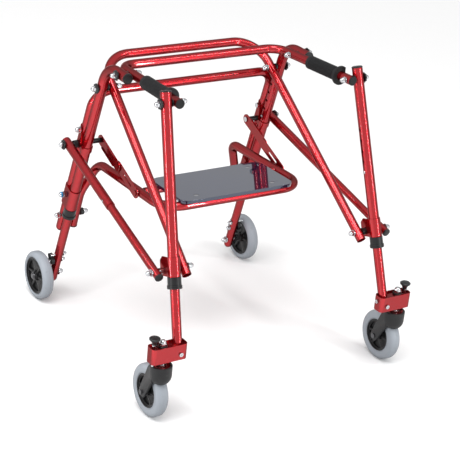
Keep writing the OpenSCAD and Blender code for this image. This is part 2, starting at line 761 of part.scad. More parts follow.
module front_post_bolts() {
  x_c = post_x(handle_front_h);
  color(chrome) {
    pin(x_c - post_d / 2 - spacer_c + face_gap + 0.8, x_c + post_d / 2 + 4, piv_c, bolt_d);
    dome_out(x_c + post_d / 2 + 3, piv_c, bolt_d, 14);
    pin(arm_dx - bar_d / 2 - face_gap - 1, ear_out + 0.6, piv_d, bolt_d);
    dome_in(arm_dx - bar_d / 2 - face_gap, piv_d, bolt_d, 15);
    translate([ear_out + 0.9, piv_d[1], piv_d[2]]) rotate([0, 90, 0]) cylinder(h = 1.6, d = 13);
  }
}

// Front legs and casters

module front_leg() {
  base = post_pt(housing_mid);
  color(red) difference() {
    straight_tube(base - post_up * leg_drop, base + post_up * (post_button_s + leg_top_margin),
      leg_d);
    foot_screws(foot_screw_d + 2 * fix_gap);
    align(base + post_up * post_button_s, post_up)
      rotate([0, -90, 0]) cylinder(h = post_d, d = hole_d);
  }
}

// Two screws hold the leg's foot: one through the end wall, one through the front wall
foot_screw_d = 5;
end_screw_h = housing_mid + 5;
front_screw_h = housing_mid - 5;

module foot_screws(d) {
  pin(housing_in - 0.5, post_x(end_screw_h) + leg_d / 2 - 3, post_pt(end_screw_h), d);
  translate([post_x(front_screw_h), stem_y - housing_w / 2 - 0.5, front_screw_h]) rotate([-90, 0, 0])
    cylinder(h = housing_w / 2 + 7, d = d);
}

module front_leg_button() {
  color(chrome) align(post_pt(housing_mid) + post_up * post_button_s, post_up)
    rotate([0, 0, 180]) snap_button(leg_d - 2 * tube_wall, post_d / 2 + 0.8);
}

housing_in = foot_x - leg_d / 2 - 7;
housing_out = stem_x + pin_reach + 11;
housing_round = 9;
// How far the leg reaches below the middle of the housing
leg_drop = 12;

module caster_housing() {
  l = housing_out - housing_in;
  mid_x = (housing_out + housing_in) / 2;
  color(red) difference() {
    union() {
      translate([mid_x, stem_y, housing_z]) linear_extrude(housing_h) difference() {
        round_rect(l, housing_w, housing_round);
        round_rect(l - 2 * housing_t, housing_w - 2 * housing_t, housing_round - housing_t);
      }
      translate([mid_x, stem_y, web_z]) linear_extrude(web_t)
        round_rect(l - housing_t, housing_w - housing_t, housing_round - housing_t);
    }
    align(post_pt(housing_mid) - post_up * (leg_drop + 0.2), post_up)
      cylinder(h = 2 * housing_h, d = leg_d + 2 * fix_gap);
    translate([stem_x, stem_y, 0]) cylinder(h = 2 * housing_z, d = stem_d + 2 * fix_gap);
    translate([stem_x + pin_reach, stem_y, 0]) cylinder(h = 2 * housing_z, d = pin_d + 2 * run_gap);
    foot_screws(foot_screw_d + 2 * fix_gap);
  }
}

module caster_stem() {
  color(chrome) {
    translate([stem_x, stem_y, 0]) {
      translate([0, 0, fork_low + 8]) cylinder(h = web_z + web_t - fork_low - 7, d = stem_d);
      translate([0, 0, fork_low + 2]) cylinder(h = 6 - face_gap, d = 19, $fn = 6);
      translate([0, 0, fork_low + 7]) cylinder(h = 2, d = stem_d - 1);
      translate([0, 0, fork_top + face_gap]) cylinder(h = web_z - fork_top - face_gap, d = 17);
      translate([0, 0, web_z + web_t]) dome_nut(11, 20);
    }
    foot_screws(foot_screw_d);
    translate([housing_in, post_y(end_screw_h), end_screw_h]) rotate([0, -90, 0]) cylinder(h = 2.6, d = 10);
    translate([post_x(front_screw_h), stem_y - housing_w / 2, front_screw_h]) rotate([90, 0, 0])
      cylinder(h = 2.6, d = 10);
  }
}

module swivel_pin() {
  z_tip = fork_top + 2 * face_gap;
  z_knob = housing_z + housing_h + 6;
  color(black) translate([stem_x + pin_reach, stem_y, 0]) {
    translate([0, 0, z_tip]) cylinder(h = z_knob - z_tip + 1, d = pin_d);
    translate([0, 0, z_knob]) rotate_extrude()
      polygon([[0, 0], [5.5, 0], [6, 4], [8.5, 9], [12, 12], [12.8, 13.5], [12.8, 15.5], [11, 17],
        [0, 18]]);
  }
}

module caster_fork() {
  arm_dir = unit([caster_trail, wheel_r - fork_low - 12]);
  arm_n = [-arm_dir[1], arm_dir[0]];
  tip = [caster_trail, wheel_r - fork_low - 12];
  tip_r = 13;
  root_r = 18;
  head_drop = 14;
  crown_half = fork_out - 0.8;
  color(charcoal) translate([stem_x, stem_y, 0]) difference() {
    union() {
      translate([0, 0, fork_low - head_drop])
        cylinder(h = fork_top - fork_low + head_drop, r = fork_head_r);
      translate([0, caster_trail, wheel_r]) rotate([0, -90, 0]) rotate([0, 0, -54])
        translate([0, 0, -crown_half]) rotate_extrude(angle = 46)
          translate([wheel_r + 4, 0]) square([5, 2 * crown_half]);
      for (i = [-1, 1]) translate([i * (fork_in + fork_out) / 2, 0, fork_low + 12]) rotate([90, 0, 90])
        linear_extrude(fork_arm_t, center = true) {
          translate(tip) circle(tip_r);
          polygon([tip + arm_n * tip_r, tip - arm_n * tip_r, [-root_r, -14], [-root_r, 2], [root_r, 2],
            [root_r, -3]]);
        }
    }
    translate([0, caster_trail, wheel_r]) rotate([0, 90, 0])
      cylinder(h = 2 * fork_in, r = wheel_r + 3.4, center = true, $fn = 96);
    translate([0, 0, fork_low - 20]) cylinder(h = 100, d = stem_d + 2 * run_gap);
    translate([0, 0, fork_low - 20]) cylinder(h = 28, d = 21);
    translate([0, 0, fork_top - index_deep]) cylinder(h = 2 * index_deep, r = fork_head_r - 5);
    translate([-50, caster_trail, wheel_r]) rotate([0, 90, 0])
      cylinder(h = 100, d = front_axle_d + 2 * fix_gap);
  }
}

module front_axle() {
  p = [0, -axle_y, wheel_r];
  color(chrome) {
    pin(stem_x - fork_out - 1, stem_x + fork_out + 1, p, front_axle_d);
    translate([stem_x + fork_out, p[1], p[2]]) rotate([0, 90, 0]) cylinder(h = 4, d = 13, $fn = 6);
    translate([stem_x - fork_out, p[1], p[2]]) rotate([0, -90, 0]) cylinder(h = 2.6, d = 13);
  }
}

// Side struts

module strut_sleeve() {
  color(red) difference() {
    straight_tube(pt_es - strut_dir * sleeve_tail, pt_es + strut_dir * sleeve_len, bar_d);
    strut_pin_bore(bolt_d + 2 * run_gap, 4 * bar_d);
    align(pt_es + strut_dir * (sleeve_len - 24), strut_dir)
      rotate([0, 90, 0]) cylinder(h = post_d, d = hole_d);
  }
}

module strut_rod() {
  color(red) difference() {
    straight_tube(pt_es + strut_dir * rod_start, pt_fs + strut_dir * rod_tail, rod_d);
    align(pt_es + strut_dir * (sleeve_len - 24), strut_dir)
      rotate([0, 90, 0]) cylinder(h = post_d, d = hole_d);
    pin(strut_fx - post_d, strut_fx + post_d, piv_d, bolt_d + 2 * fix_gap);
  }
}

module strut_button() {
  color(chrome) align(pt_es + strut_dir * (sleeve_len - 24), strut_dir)
    snap_button(rod_d - 2 * tube_wall, bar_d / 2 + 0.8);
}

module strut_bolt() {
  color(chrome) {
    pin(strut_fx - rod_d / 2 - 2, strut_fx + rod_d / 2 + 1, piv_d, bolt_d);
    dome_out(strut_fx + rod_d / 2 + 0.5, piv_d, bolt_d, 17);
    pin(ear_out + 3.2, strut_fx - rod_d / 2 - 0.5, piv_d, 15);
    align(pt_fs + strut_dir * rod_tail, strut_dir) end_plug(rod_d, 6);
  }
}

// Seat

seat_leg_foot = [seat_leg_x, cross_pt(seat_leg_low)[1], seat_leg_low];
seat_leg_jog = [seat_leg_x, cross_pt(jog_h)[1], jog_h];
rail_reach = stay_reach;
front_screw_reach = seat_reach - 5.5;

module on_seat(reach) {
  translate([0, seat_rear[1], seat_rear[2]]) rotate([-seat_tilt, 0, 0]) translate([0, -reach, 0])
    children();
}

module seat_frame() {
  color(red) difference() {
    union() {
      path_tube([seat_leg_foot, seat_leg_jog, seat_rear, seat_front, flip(seat_front), flip(seat_rear),
        flip(seat_leg_jog), flip(seat_leg_foot)],
        [90, seat_bend_r, seat_corner_r, seat_corner_r, seat_bend_r, 90], bar_d);
      on_seat(rail_reach) rotate([0, 90, 0]) difference() {
        cylinder(h = seat_w - bar_d + 0.6, d = bar_d - 3, center = true);
        cylinder(h = seat_w, d = bar_d - 3 - 2 * tube_wall, center = true);
      }
    }
    sides() {
      pin(seat_leg_x - bar_d, seat_leg_x + bar_d, piv_s, bolt_d + 2 * run_gap);
      pin(arm_x - bar_d, arm_x + bar_d, piv_g, stay_pin_d + 2 * fix_gap);
    }
    for (reach = [rail_reach, front_screw_reach]) on_seat(reach) for (i = [-1, 1])
      translate([i * screw_x, 0, 0]) cylinder(h = 3 * bar_d, d = 5.2, center = true);
  }
}

screw_x = board_w * 0.3425;
board_front = 343;
board_low = bar_d / 2 + 0.3;

module seat_board() {
  color(black) difference() {
    on_seat(board_front - board_l / 2) translate([0, 0, board_low]) linear_extrude(board_t)
      round_rect(board_w, board_l, board_r);
    for (reach = [rail_reach, front_screw_reach]) on_seat(reach) for (i = [-1, 1])
      translate([i * screw_x, 0, board_low]) {
        cylinder(h = 4 * board_t, d = 5.2, center = true);
        translate([0, 0, board_t - 2.4]) cylinder(h = board_t, d = 12);
      }
  }
}

module seat_fasteners() {
  color(chrome) {
    for (reach = [rail_reach, front_screw_reach]) on_seat(reach) for (i = [-1, 1])
      translate([i * screw_x, 0, board_low]) {
        translate([0, 0, -14]) cylinder(h = board_t + 12, d = 5);
        translate([0, 0, board_t - 2.3]) cylinder(h = 1.8, d = 11.6);
      }
    sides() {
      pin(arm_x - bar_d / 2 - 6, arm_x + bar_d / 2 + 0.25, piv_g, stay_pin_d);
      align(seat_leg_foot, seat_leg_foot - seat_leg_jog) end_plug(bar_d);
    }
  }
}

// Folding stays between the rear frame and the seat arms

module stay_plate(p, q, extra) {
  u = unit(q - p);
  translate([0, p[1], p[2]]) rotate([atan2(u[2], u[1]), 0, 0]) rotate([90, 0, 90])
    linear_extrude(stay_t) {
      translate([0, -stay_w / 2]) square([norm(q - p), stay_w]);
      circle(d = stay_w);
      translate([norm(q - p), 0]) circle(d = stay_w + extra);
    }
}

module upper_stays() {
  u = unit(piv_m - piv_k);
  half = stay_len / 2;
  color(red) sides() difference() {
    union() {
      translate([up_stay_x, 0, 0]) stay_plate(piv_k, piv_m, 0);
      translate([up_stay_x, piv_k[1], piv_k[2]]) rotate([atan2(u[2], u[1]), 0, 0])
        for (j = [-1, 1]) translate([0, 14, j * (stay_w / 2 - 1) - 1]) cube([stay_t + 2.5, half - 28, 2]);
    }
    pin(up_stay_x - 5, up_stay_x + 20, piv_k, stay_pin_d + 2 * run_gap);
    pin(up_stay_x - 5, up_stay_x + 20, piv_m, stay_pin_d + 2 * fix_gap);
  }
  color(red) sides() {
    pin(low_stay_x - 0.2, up_stay_x + stay_t + 0.4, piv_m, stay_pin_d);
    translate([up_stay_x + stay_t + 0.1, piv_m[1], piv_m[2]]) rotate([0, 90, 0])
      cylinder(h = 1.8, d = 13);
  }
}

module lower_stays() {
  u = unit(piv_g - piv_m);
  slot = 34;
  color(red) sides() difference() {
    translate([low_stay_x, 0, 0]) stay_plate(piv_m, piv_g, 0);
    pin(low_stay_x - 5, low_stay_x + 20, piv_m, stay_pin_d + 2 * run_gap);
    translate([low_stay_x - 1, piv_m[1], piv_m[2]]) rotate([atan2(u[2], u[1]), 0, 0])
      rotate([90, 0, 90]) linear_extrude(stay_t + 2) translate([stay_len / 4 + 4, 0]) {
        square([slot, 7], center = true);
        for (i = [-1, 1]) translate([i * slot / 2, 0]) circle(d = 7);
      }
  }
  color(red) sides() translate([low_stay_x + stay_t + 0.1, piv_g[1], piv_g[2]]) rotate([0, 90, 0])
    cylinder(h = 1.8, d = 13);
}

rear_uprights();
rear_crossbar();
frame_clamps();
rear_frame_trim();
rear_frame_bolts();
mirror([1, 0, 0]) rear_leg();  // rear_leg_left
rear_leg();  // rear_leg_right
mirror([1, 0, 0]) rear_leg_bolts();  // rear_leg_bolts_left
rear_leg_bolts();  // rear_leg_bolts_right
mirror([1, 0, 0]) rear_leg_button();  // rear_leg_button_left
rear_leg_button();  // rear_leg_button_right
mirror([1, 0, 0]) reverse_pawl();  // reverse_pawl_left
reverse_pawl();  // reverse_pawl_right
mirror([1, 0, 0]) rear_tyre();  // rear_tyre_left
rear_tyre();  // rear_tyre_right
mirror([1, 0, 0]) rear_hub();  // rear_hub_left
rear_hub();  // rear_hub_right
upper_frame();
handlebar();
handlebar_grips();
handlebar_nuts();
mirror([1, 0, 0]) front_post();  // front_post_left
front_post();  // front_post_right
mirror([1, 0, 0]) post_bracket();  // post_bracket_left
post_bracket();  // post_bracket_right
mirror([1, 0, 0]) front_post_trim();  // front_post_trim_left
front_post_trim();  // front_post_trim_right
mirror([1, 0, 0]) front_post_bolts();  // front_post_bolts_left
front_post_bolts();  // front_post_bolts_right
mirror([1, 0, 0]) front_leg();  // front_leg_left
front_leg();  // front_leg_right
mirror([1, 0, 0]) front_leg_button();  // front_leg_button_left
front_leg_button();  // front_leg_button_right
mirror([1, 0, 0]) caster_housing();  // caster_housing_left
caster_housing();  // caster_housing_right
mirror([1, 0, 0]) caster_stem();  // caster_stem_left
caster_stem();  // caster_stem_right
mirror([1, 0, 0]) swivel_pin();  // swivel_pin_left
swivel_pin();  // swivel_pin_right
mirror([1, 0, 0]) caster_fork();  // caster_fork_left
caster_fork();  // caster_fork_right
mirror([1, 0, 0]) front_axle();  // front_axle_left
front_axle();  // front_axle_right
mirror([1, 0, 0]) front_tyre();  // front_tyre_left
front_tyre();  // front_tyre_right
mirror([1, 0, 0]) front_hub();  // front_hub_left
front_hub();  // front_hub_right
mirror([1, 0, 0]) strut_sleeve();  // strut_sleeve_left
strut_sleeve();  // strut_sleeve_right
mirror([1, 0, 0]) strut_rod();  // strut_rod_left
strut_rod();  // strut_rod_right
mirror([1, 0, 0]) strut_button();  // strut_button_left
strut_button();  // strut_button_right
mirror([1, 0, 0]) strut_bolt();  // strut_bolt_left
strut_bolt();  // strut_bolt_right
seat_frame();
seat_board();
seat_fasteners();
upper_stays();
lower_stays();
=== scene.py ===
import math
import bpy
import bmesh
from mathutils import Matrix, Vector


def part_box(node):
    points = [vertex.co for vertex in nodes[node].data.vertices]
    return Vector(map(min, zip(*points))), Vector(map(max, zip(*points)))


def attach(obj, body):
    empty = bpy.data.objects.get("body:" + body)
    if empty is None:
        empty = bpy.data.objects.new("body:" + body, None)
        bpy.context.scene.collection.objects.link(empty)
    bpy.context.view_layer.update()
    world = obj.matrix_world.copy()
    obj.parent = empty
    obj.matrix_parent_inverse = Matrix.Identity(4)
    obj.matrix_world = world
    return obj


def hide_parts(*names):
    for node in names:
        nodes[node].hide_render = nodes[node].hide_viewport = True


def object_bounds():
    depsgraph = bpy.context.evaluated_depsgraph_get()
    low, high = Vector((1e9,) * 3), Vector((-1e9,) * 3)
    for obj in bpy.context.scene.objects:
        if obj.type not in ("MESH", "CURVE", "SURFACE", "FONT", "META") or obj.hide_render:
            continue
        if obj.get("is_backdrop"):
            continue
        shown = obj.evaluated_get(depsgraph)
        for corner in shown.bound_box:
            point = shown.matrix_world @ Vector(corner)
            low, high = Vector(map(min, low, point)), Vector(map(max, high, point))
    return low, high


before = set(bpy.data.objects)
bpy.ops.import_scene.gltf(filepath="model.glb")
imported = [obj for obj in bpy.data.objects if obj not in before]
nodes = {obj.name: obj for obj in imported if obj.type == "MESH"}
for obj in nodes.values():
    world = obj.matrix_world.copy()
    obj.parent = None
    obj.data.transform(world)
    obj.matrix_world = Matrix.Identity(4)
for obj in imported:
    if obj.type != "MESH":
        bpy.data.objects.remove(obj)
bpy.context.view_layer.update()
mm = 0.001
sides = (("left", -1), ("right", 1))
print("frame loaded:", len(nodes), "nodes")


def at(x, y, z):
    return Vector((x, y, z)) * mm


# shared surface effects, one shader group each

def newGroup(name, inputs, outputs):
    group = bpy.data.node_groups.new(name, "ShaderNodeTree")
    for label, kind, value in inputs:
        socket = group.interface.new_socket(name=label, in_out="INPUT", socket_type=kind)
        socket.default_value = value
    for label, kind in outputs:
        group.interface.new_socket(name=label, in_out="OUTPUT", socket_type=kind)
    return group, group.nodes.new("NodeGroupInput"), group.nodes.new("NodeGroupOutput")


def mathNode(tree, operation, a, b):
    node = tree.nodes.new("ShaderNodeMath")
    node.operation = operation
    for socket, value in zip(node.inputs, (a, b)):
        if isinstance(value, (int, float)):
            socket.default_value = value
        else:
            tree.links.new(value, socket)
    return node.outputs[0]


def noiseNode(tree, scale, detail):
    coords = tree.nodes.new("ShaderNodeTexCoord")
    noise = tree.nodes.new("ShaderNodeTexNoise")
    noise.inputs["Detail"].default_value = detail
    tree.links.new(coords.outputs["Object"], noise.inputs["Vector"])
    if isinstance(scale, (int, float)):
        noise.inputs["Scale"].default_value = scale
    else:
        tree.links.new(scale, noise.inputs["Scale"])
    return noise.outputs["Fac"]


# slow drift of tone and gloss, as on any sprayed or moulded face
def makeToneDrift():
    group, ins, outs = newGroup("toneDrift", [
        ("Colour", "NodeSocketColor", (0.5, 0.5, 0.5, 1)),
        ("Patch Scale", "NodeSocketFloat", 14.0),
        ("Amount", "NodeSocketFloat", 0.15),
        ("Gloss", "NodeSocketFloat", 0.3),
        ("Gloss Drift", "NodeSocketFloat", 0.1),
    ], [("Colour", "NodeSocketColor"), ("Roughness", "NodeSocketFloat")])
    patch = noiseNode(group, ins.outputs["Patch Scale"], 3.0)
    centred = mathNode(group, "SUBTRACT", patch, 0.5)
    tone = mathNode(group, "ADD", mathNode(group, "MULTIPLY", centred, ins.outputs["Amount"]), 1.0)
    scaleColour = group.nodes.new("ShaderNodeVectorMath")
    scaleColour.operation = "SCALE"
    group.links.new(ins.outputs["Colour"], scaleColour.inputs[0])
    group.links.new(tone, scaleColour.inputs["Scale"])
    group.links.new(scaleColour.outputs[0], outs.inputs["Colour"])
    drift = mathNode(group, "MULTIPLY", centred, ins.outputs["Gloss Drift"])
    group.links.new(mathNode(group, "ADD", ins.outputs["Gloss"], drift), outs.inputs["Roughness"])
    return group


# fine pebble of moulded plastic, rubber and paint, as a height
def makePebble():
    group, ins, outs = newGroup("pebble", [
        ("Grain Scale", "NodeSocketFloat", 900.0),
        ("Coarse Share", "NodeSocketFloat", 0.3),
    ], [("Height", "NodeSocketFloat")])
    fine = noiseNode(group, ins.outputs["Grain Scale"], 2.0)
    coarseScale = mathNode(group, "MULTIPLY", ins.outputs["Grain Scale"], 0.12)
    coarse = noiseNode(group, coarseScale, 2.0)
    mixed = mathNode(group, "MULTIPLY", coarse, ins.outputs["Coarse Share"])
    group.links.new(mathNode(group, "ADD", fine, mixed), outs.inputs["Height"])
    return group


# small pale scuffs on faces that get handled
def makeScuffs():
    group, ins, outs = newGroup("scuffs", [
        ("Colour", "NodeSocketColor", (0.5, 0.5, 0.5, 1)),
        ("Scuff Colour", "NodeSocketColor", (0.6, 0.6, 0.6, 1)),
        ("Scuff Scale", "NodeSocketFloat", 60.0),
        ("Strength", "NodeSocketFloat", 0.2),
    ], [("Colour", "NodeSocketColor")])
    spots = noiseNode(group, ins.outputs["Scuff Scale"], 6.0)
    ramp = group.nodes.new("ShaderNodeMapRange")
    ramp.inputs["From Min"].default_value = 0.60
    ramp.inputs["From Max"].default_value = 0.74
    group.links.new(spots, ramp.inputs["Value"])
    mix = group.nodes.new("ShaderNodeMix")
    mix.data_type = "RGBA"
    group.links.new(mathNode(group, "MULTIPLY", ramp.outputs[0], ins.outputs["Strength"]), mix.inputs[0])
    group.links.new(ins.outputs["Colour"], mix.inputs[6])
    group.links.new(ins.outputs["Scuff Colour"], mix.inputs[7])
    group.links.new(mix.outputs[2], outs.inputs["Colour"])
    return group


toneDrift = makeToneDrift()
pebble = makePebble()
scuffs = makeScuffs()

# colour, gloss, wear and painted grazing shade of each finish; patch, grain and scuffScale are counts per
# metre, bump is in metres
finishes = {
    "redPaint": dict(
        slot="red_paint", colour=(0.49, 0.009, 0.016), gloss=0.19, metallic=0.70, spec=0.20,
        tint=(0.85, 0.22, 0.22), coat=1.0, coatRough=0.02, coatFade=0.06,
        # painted shade: the edge colour darkens the red where the tube turns away from the eye, standing in
        # for dark reflections
        grazingShade=(0.075, 0.0015, 0.003), grazingFrom=0.14, grazingTo=0.66,
        patch=9.0, amount=0.14, drift=0.06, grain=260.0, bump=0.0000005,
        scuff=(0.50, 0.04, 0.05), scuffScale=45.0, scuffs=0.08),
    "blackPlastic": dict(
        slot="black_plastic", colour=(0.008, 0.008, 0.009), gloss=0.40, spec=0.34,
        patch=30.0, amount=0.3, drift=0.16, grain=1400.0, bump=0.00005,
        scuff=(0.05, 0.05, 0.05), scuffScale=90.0, scuffs=0.30),
    "gripRubber": dict(
        slot="grip_rubber", colour=(0.009, 0.009, 0.010), gloss=0.62, spec=0.30,
        patch=50.0, amount=0.3, drift=0.18, grain=1100.0, bump=0.00008,
        scuff=(0.04, 0.04, 0.04), scuffScale=120.0, scuffs=0.3),
    "brightPlate": dict(
        slot="bright_metal", colour=(0.57, 0.58, 0.60), gloss=0.15, metallic=1.0,
        # painted shade: the edge colour darkens the plate where it turns away from the eye, standing in for
        # dark reflections
        grazingShade=(0.10, 0.10, 0.11), grazingFrom=0.35, grazingTo=0.90,
        patch=120.0, amount=0.16, drift=0.12, grain=2600.0, bump=0.00001,
        scuff=(0.36, 0.36, 0.37), scuffScale=220.0, scuffs=0.30),
    "darkSteel": dict(
        slot="bright_metal", colour=(0.10, 0.10, 0.105), gloss=0.32, metallic=1.0,
        patch=90.0, amount=0.2, drift=0.14, grain=2000.0, bump=0.00002,
        scuff=(0.32, 0.32, 0.33), scuffScale=160.0, scuffs=0.4),
    "greyTyre": dict(
        slot="grey_tyre", colour=(0.335, 0.365, 0.405), gloss=0.46, spec=0.4,
        # painted shade: the edge colour darkens the tyre where it turns away from the eye
        grazingShade=(0.15, 0.165, 0.185), grazingFrom=0.45, grazingTo=1.0,
        patch=40.0, amount=0.10, drift=0.16, grain=1300.0, bump=0.00005,
        scuff=(0.24, 0.25, 0.26), scuffScale=70.0, scuffs=0.35),
    "forkPlastic": dict(
        slot="fork_plastic", colour=(0.016, 0.016, 0.017), gloss=0.46, spec=0.30,
        patch=40.0, amount=0.2, drift=0.14, grain=1500.0, bump=0.00007,
        scuff=(0.06, 0.06, 0.06), scuffScale=80.0, scuffs=0.25),
    "seatGloss": dict(
        slot="seat_black", colour=(0.006, 0.009, 0.030), gloss=0.05, spec=1.0,
        coat=0.6, coatRough=0.02, tint=(0.70, 0.78, 1.0),
        patch=12.0, amount=0.3, drift=0.04, grain=500.0, bump=0.000002,
        scuff=(0.012, 0.013, 0.020), scuffScale=35.0, scuffs=0.35),
    "nylonBlue": dict(
        slot="black_plastic", colour=(0.01, 0.24, 0.50), gloss=0.35, spec=0.4,
        patch=60.0, amount=0.15, drift=0.1, grain=1500.0, bump=0.00003,
        scuff=(0.1, 0.34, 0.55), scuffScale=120.0, scuffs=0.2),
}


# how far a face turns away from the eye, between two limits
def turnedAway(tree, look, low=0.0, high=1.0):
    weight = tree.nodes.new("ShaderNodeLayerWeight")
    ramp = tree.nodes.new("ShaderNodeMapRange")
    limits = {"From Min": look["grazingFrom"], "From Max": look["grazingTo"], "To Min": low, "To Max": high}
    for label, value in limits.items():
        ramp.inputs[label].default_value = value
    tree.links.new(weight.outputs["Facing"], ramp.inputs["Value"])
    return ramp.outputs[0]


# painted shade: deepens a colour where the face turns away from the eye, standing in for dark reflections and
# shade at grazing angles
def withGrazingShade(tree, colour, look):
    if "grazingShade" not in look:
        return colour
    mix = tree.nodes.new("ShaderNodeMix")
    mix.data_type = "RGBA"
    mix.inputs[7].default_value = (*look["grazingShade"], 1)
    tree.links.new(turnedAway(tree, look), mix.inputs[0])
    tree.links.new(colour, mix.inputs[6])
    return mix.outputs[2]


def makeFinish(name, look):
    material = bpy.data.materials.new(name)
    material.use_nodes = True
    tree = material.node_tree
    shader = tree.nodes["Principled BSDF"]
    drift = tree.nodes.new("ShaderNodeGroup")
    drift.node_tree = toneDrift
    drift.inputs["Colour"].default_value = (*look["colour"], 1)
    drift.inputs["Patch Scale"].default_value = look["patch"]
    drift.inputs["Amount"].default_value = look["amount"]
    drift.inputs["Gloss"].default_value = look["gloss"]
    drift.inputs["Gloss Drift"].default_value = look["drift"]
    worn = tree.nodes.new("ShaderNodeGroup")
    worn.node_tree = scuffs
    worn.inputs["Scuff Colour"].default_value = (*look["scuff"], 1)
    worn.inputs["Scuff Scale"].default_value = look["scuffScale"]
    worn.inputs["Strength"].default_value = look["scuffs"]
    grain = tree.nodes.new("ShaderNodeGroup")
    grain.node_tree = pebble
    grain.inputs["Grain Scale"].default_value = look["grain"]
    bump = tree.nodes.new("ShaderNodeBump")
    bump.inputs["Distance"].default_value = look["bump"]
    tree.links.new(drift.outputs["Colour"], worn.inputs["Colour"])
    # the base colour carries the painted grazing shade where a finish has one
    tree.links.new(withGrazingShade(tree, worn.outputs["Colour"], look), shader.inputs["Base Color"])
    tree.links.new(drift.outputs["Roughness"], shader.inputs["Roughness"])
    tree.links.new(grain.outputs["Height"], bump.inputs["Height"])
    tree.links.new(bump.outputs["Normal"], shader.inputs["Normal"])
    shader.inputs["Metallic"].default_value = look.get("metallic", 0.0)
    shader.inputs["Specular IOR Level"].default_value = look.get("spec", 0.5)
    shader.inputs["Specular Tint"].default_value = (*look.get("tint", (1, 1, 1)), 1)
    shader.inputs["Coat Weight"].default_value = look.get("coat", 0.0)
    shader.inputs["Coat Roughness"].default_value = look.get("coatRough", 0.03)
    if "coatFade" in look:
        tree.links.new(turnedAway(tree, look, look["coat"], look["coatFade"]), shader.inputs["Coat Weight"])
    return material


paints = {name: makeFinish(name, look) for name, look in finishes.items()}
print("finishes made:", len(paints))

# the node names that a name with a star stands for
def bothSides(name):
    return [name.replace("*", side) for side, _ in sides] if "*" in name else [name]


# which finish each carried-over node wears
nodeFinish = {
    "redPaint": ["rear_uprights", "rear_crossbar", "frame_clamps", "rear_leg_*", "upper_frame", "handlebar",
                 "front_post_*", "post_bracket_*", "front_leg_*", "caster_housing_*", "strut_sleeve_*",
                 "strut_rod_*", "seat_frame", "upper_stays", "lower_stays"],
    "blackPlastic": ["rear_frame_trim", "reverse_pawl_*", "rear_hub_*", "front_hub_*", "front_post_trim_*",
                     "swivel_pin_*"],
    "gripRubber": ["handlebar_grips"],
    "brightPlate": ["rear_frame_bolts", "rear_leg_bolts_*", "rear_leg_button_*", "handlebar_nuts",
                    "front_post_bolts_*", "front_leg_button_*", "caster_stem_*", "strut_button_*",
                    "strut_bolt_*", "seat_fasteners"],
    "darkSteel": ["front_axle_*"],
    "greyTyre": ["rear_tyre_*", "front_tyre_*"],
    "forkPlastic": ["caster_fork_*"],
    "seatGloss": ["seat_board"],
}
for finish, names in nodeFinish.items():
    for name in names:
        for full in bothSides(name):
            mesh = nodes[full].data
            mesh.materials.clear()
            mesh.materials.append(paints[finish])
print("nodes painted")

# rounded edges on the board and the folded housings, in mm
edgeRounds = dict(widths={"seat_board": 1.0, "caster_housing_*": 0.6}, weldGap=0.01, segments=3, angle=38)
for name, width in edgeRounds["widths"].items():
    for full in bothSides(name):
        weld = nodes[full].modifiers.new("weld", "WELD")
        weld.merge_threshold = edgeRounds["weldGap"] * mm
        bevel = nodes[full].modifiers.new("round", "BEVEL")
        bevel.width = width * mm
        bevel.segments = edgeRounds["segments"]
        bevel.limit_method = "ANGLE"
        bevel.angle_limit = math.radians(edgeRounds["angle"])
        bevel.harden_normals = True
print("edges rounded")


# mesh helpers

mirrorX = Matrix.Scale(-1, 4, (1, 0, 0))
mergeGap = 1e-6


# keeps a shape made for the right side, or mirrors it for the left
def toSide(sign):
    return Matrix.Scale(sign, 4, (1, 0, 0))


def meshFrom(verts, faces, name, sharp=32.0):
    mesh = bpy.data.meshes.new(name)
    mesh.from_pydata([tuple(v) for v in verts], [], faces)
    work = bmesh.new()
    work.from_mesh(mesh)
    bmesh.ops.remove_doubles(work, verts=work.verts, dist=mergeGap)
    bmesh.ops.recalc_face_normals(work, faces=work.faces)
    work.to_mesh(mesh)
    work.free()
    smooth(mesh, sharp)
    return mesh


def smooth(mesh, sharp=32.0):
    mesh.polygons.foreach_set("use_smooth", [True] * len(mesh.polygons))
    mesh.set_sharp_from_angle(angle=math.radians(sharp))


# turns a closed section of (radius, height) pairs in mm round the Z axis
def lathe(section, name, segments=96, sharp=32.0):
    verts, faces, count = [], [], len(section)
    for i in range(segments):
        turn = 2 * math.pi * i / segments
        for radius, height in section:
            verts.append((radius * math.cos(turn) * mm, radius * math.sin(turn) * mm, height * mm))
    for i in range(segments):
        here, there = i * count, (i + 1) % segments * count
        for j in range(count):
            k = (j + 1) % count
            faces.append((here + j, there + j, there + k, here + k))
    return meshFrom(verts, faces, name, sharp)


# arc of section points round a corner, in degrees
def arc(cx, cy, radius, start, end, steps):
    points = []
    for i in range(steps + 1):
        turn = math.radians(start + (end - start) * i / steps)
        points.append((cx + radius * math.cos(turn), cy + radius * math.sin(turn)))
    return points


# frame with Z along the given direction
def facing(origin, direction):
    return Matrix.Translation(origin) @ Vector(direction).to_track_quat("Z", "Y").to_matrix().to_4x4()


def joined(meshes, name):
    work = bmesh.new()
    for mesh in meshes:
        work.from_mesh(mesh)
    whole = bpy.data.meshes.new(name)
    work.to_mesh(whole)
    work.free()
    smooth(whole)
    return whole


def placed(mesh, matrix):
    copy = mesh.copy()
    copy.transform(matrix)
    if matrix.determinant() < 0:
        copy.flip_normals()
    return copy


def addPiece(mesh, name, finish, body, replaced=()):
    mesh.name = name
    mesh.materials.clear()
    mesh.materials.append(paints[finish])
    for face in mesh.polygons:
        face.material_index = 0
    piece = bpy.data.objects.new(name, mesh)
    bpy.context.scene.collection.objects.link(piece)
    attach(piece, body)
    if replaced:
        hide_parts(*replaced)
    return piece


# geometry node trees for what repeats

